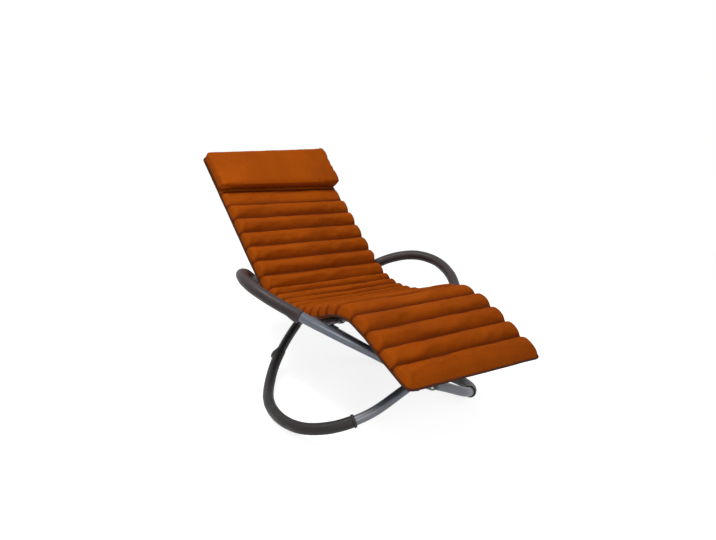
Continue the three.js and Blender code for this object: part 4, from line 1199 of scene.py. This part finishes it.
# The darker seam colour given below is painted shade in the valleys between the rolls.
orange_canvas = cloth_finish(
    "orange_canvas", (0.3, 0.054, 0.0012, 1), (0.38, 0.072, 0.002, 1), 1100.0, 1100.0, 0.00016,
    patch_scale=6.0, seam_painted_shade=(0.1, 0.015, 0.001, 1), Specular_IOR_Level=0.06)
hang_on(cushion, "seat", orange_canvas, "cushion_cloth", "roll_cushion")

# Piping: a cord in dark cloth, sewn round the whole edge of the cushion. It follows the pressed-in
# places and the skewed foot edge, and rises and swells a little along its way.
piping_step = 0.006
# Wave, amount and seed, of its height in metres and of its width as a share
piping_rise = (0.05, 0.0006, 41)
piping_swell = (0.02, 0.05, 42)
sides = []
for side in (1, -1):
    order = np.argsort(edge_runs)[::side]
    half = side * edge_half[side][order]
    sides.append(seat_frame(skewed(edge_runs[order], half), piping_height, half))
piping_line = np.vstack(sides)
steps = run_of(piping_line)
even = np.linspace(0, steps[-1], int(steps[-1] / piping_step))
piping_line = np.stack([np.interp(even, steps, piping_line[:, i]) for i in range(3)], axis=1)
piping_line[:, 2] += wander(even, *piping_rise)
widths = piping_radius * (1 + wander(even, *piping_swell))
piping_cloth = plain_finish(
    "piping_cloth", (0.04, 0.012, 0.006, 1), (0.075, 0.022, 0.009, 1), 60.0, 900.0, 0.0003, (0.8, 0.95),
    Specular_IOR_Level=0.2)
piping = bent_bar("cushion_piping", piping_line, 1.0, widths, closed=True, detail=3)
hang_on(piping, "seat", piping_cloth, "cushion_cloth", "roll_cushion")

# Head pillow: a flat foam pad in the same canvas. It is boxed from a top, a bottom and a side
# strip, with a sewn seam low on the side, and lies on the first pressed rolls.
pillow_start = 0.001
pillow_length = 0.206
pillow_half = 0.2785
pillow_thickness = 0.04
pillow_corner = 0.027
pillow_edge = 0.005
pillow_gap = 0.0003
pillow_lift = 0.0006
pillow_base = pillow_gap + pressed_roll_height + pillow_lift
pillow_seam_height = -0.0125
pillow_seam_reach = 0.003
pillow_seam_depth = 0.0012
# Strength of the painted shade in the side seam groove
pillow_seam_shade = 0.7
# How far the foam bulges below, at the side and above
pillow_puffs = (0.0005, 0.0022, 0.0045)
pillow_pressure = 4.0
pillow_cloth_shrink = -0.02
pillow_lean = ((0.5, 0.98), (1.42, 1.08))
pillow_drape = 0.0155
pillow_drape_start = 0.215
pillow_tuck = 0.014
pillow_shrink = 0.003
pillow_ripple = 0.0007


def pick_edges(piece, wanted):
    """Goes to edit mode with only those edges selected whose two ends pass the test."""
    bpy.ops.object.mode_set(mode="EDIT")
    bpy.ops.mesh.select_mode(type="EDGE")
    bpy.ops.mesh.select_all(action="DESELECT")
    bpy.ops.object.mode_set(mode="OBJECT")
    for edge in piece.data.edges:
        edge.select = wanted(*(piece.data.vertices[i].co for i in edge.vertices))
    bpy.ops.object.mode_set(mode="EDIT")


bpy.ops.object.select_all(action="DESELECT")
bpy.ops.mesh.primitive_cube_add(size=1, location=(0, 0, 0), scale=(
    pillow_length - pillow_shrink, 2 * pillow_half - pillow_shrink, pillow_thickness - pillow_shrink))
pillow = bpy.context.object
pillow.name = "head_pillow_pad"
bpy.ops.object.transform_apply(location=True, rotation=True, scale=True)
pick_edges(pillow, lambda a, b: abs(a.z - b.z) > 0.5 * pillow_thickness)
bpy.ops.mesh.bevel(offset=pillow_corner, segments=8)
pick_edges(pillow, lambda a, b: abs(a.z - b.z) < 1e-5)
bpy.ops.mesh.bevel(offset=pillow_edge, segments=4)
bpy.ops.object.mode_set(mode="OBJECT")
apply_modifier(pillow, "REMESH", mode="VOXEL", voxel_size=0.005)
local = corners_of(pillow)
low_side = local[:, 2] < -0.3 * pillow_thickness
high_side = local[:, 2] > 0.3 * pillow_thickness
cap = np.where(low_side, pillow_puffs[0], np.where(high_side, pillow_puffs[2], pillow_puffs[1]))
move_corners(pillow, puff(pillow, low_side, cap, pillow_pressure, pillow_cloth_shrink))
apply_modifier(pillow, "SUBSURF", levels=1, render_levels=1)
local = corners_of(pillow)
sideways = np.array([vertex.normal for vertex in pillow.data.vertices])
sideways[:, 2] = 0
bound = np.exp(-((local[:, 2] - pillow_seam_height) / pillow_seam_reach) ** 2)
bound *= np.linalg.norm(sideways, axis=1)
local -= sideways * (pillow_seam_depth * bound)[:, None]
ripple = np.sin(local[:, 1] * 61 + 1.3 * np.sin(local[:, 0] * 40))
ripple *= np.sin(local[:, 0] * 47 + local[:, 1] * 13)
local[:, 2] += pillow_ripple * ripple * np.clip(local[:, 2] / 0.015, 0, 1)
across_share = (local[:, 1] / pillow_half + 1) / 2
along_share = local[:, 0] / pillow_length + 0.5
near_lean, far_lean = (head + (foot - head) * along_share for head, foot in pillow_lean)
drape = np.clip((abs(local[:, 1]) - pillow_drape_start) / (pillow_half - pillow_drape_start), 0, 1) ** 2
leaning = near_lean + (far_lean - near_lean) * across_share
rise = np.clip(local[:, 2] / pillow_thickness + 0.5, 0, 1)
local[:, 2] = (local[:, 2] + pillow_thickness / 2) * leaning - pillow_thickness / 2
local[:, 2] -= pillow_drape * drape * (1 - rise)
local[:, 0] -= pillow_tuck * (1 - rise) * np.clip(5 * along_share - 4, 0, 1)
pillow_middle = seat_frame(pillow_start + pillow_length / 2)
along = seat_frame(pillow_start + pillow_length) - seat_frame(pillow_start)
along = along / np.linalg.norm(along)
upright = np.array([-along[2], 0, along[0]])
placed = (pillow_middle + local[:, :1] * along + local[:, 1:2] * np.array([0, 1, 0])
          + (local[:, 2:] + pillow_base + pillow_thickness / 2) * upright)
move_corners(pillow, placed)
lay_out(pillow.data, local[:, :2] + local[:, 2:] * np.sign(local[:, :2]) * 0.7)
# Painted shade: the seam groove low on the side is darkened through the seam attribute.
seam_shade = pillow.data.attributes.new("seam", "FLOAT", "POINT")
seam_shade.data.foreach_set("value", pillow_seam_shade * bound)
smooth(pillow, 80)
hang_on(pillow, "seat", orange_canvas, "cushion_cloth", "head_pillow")
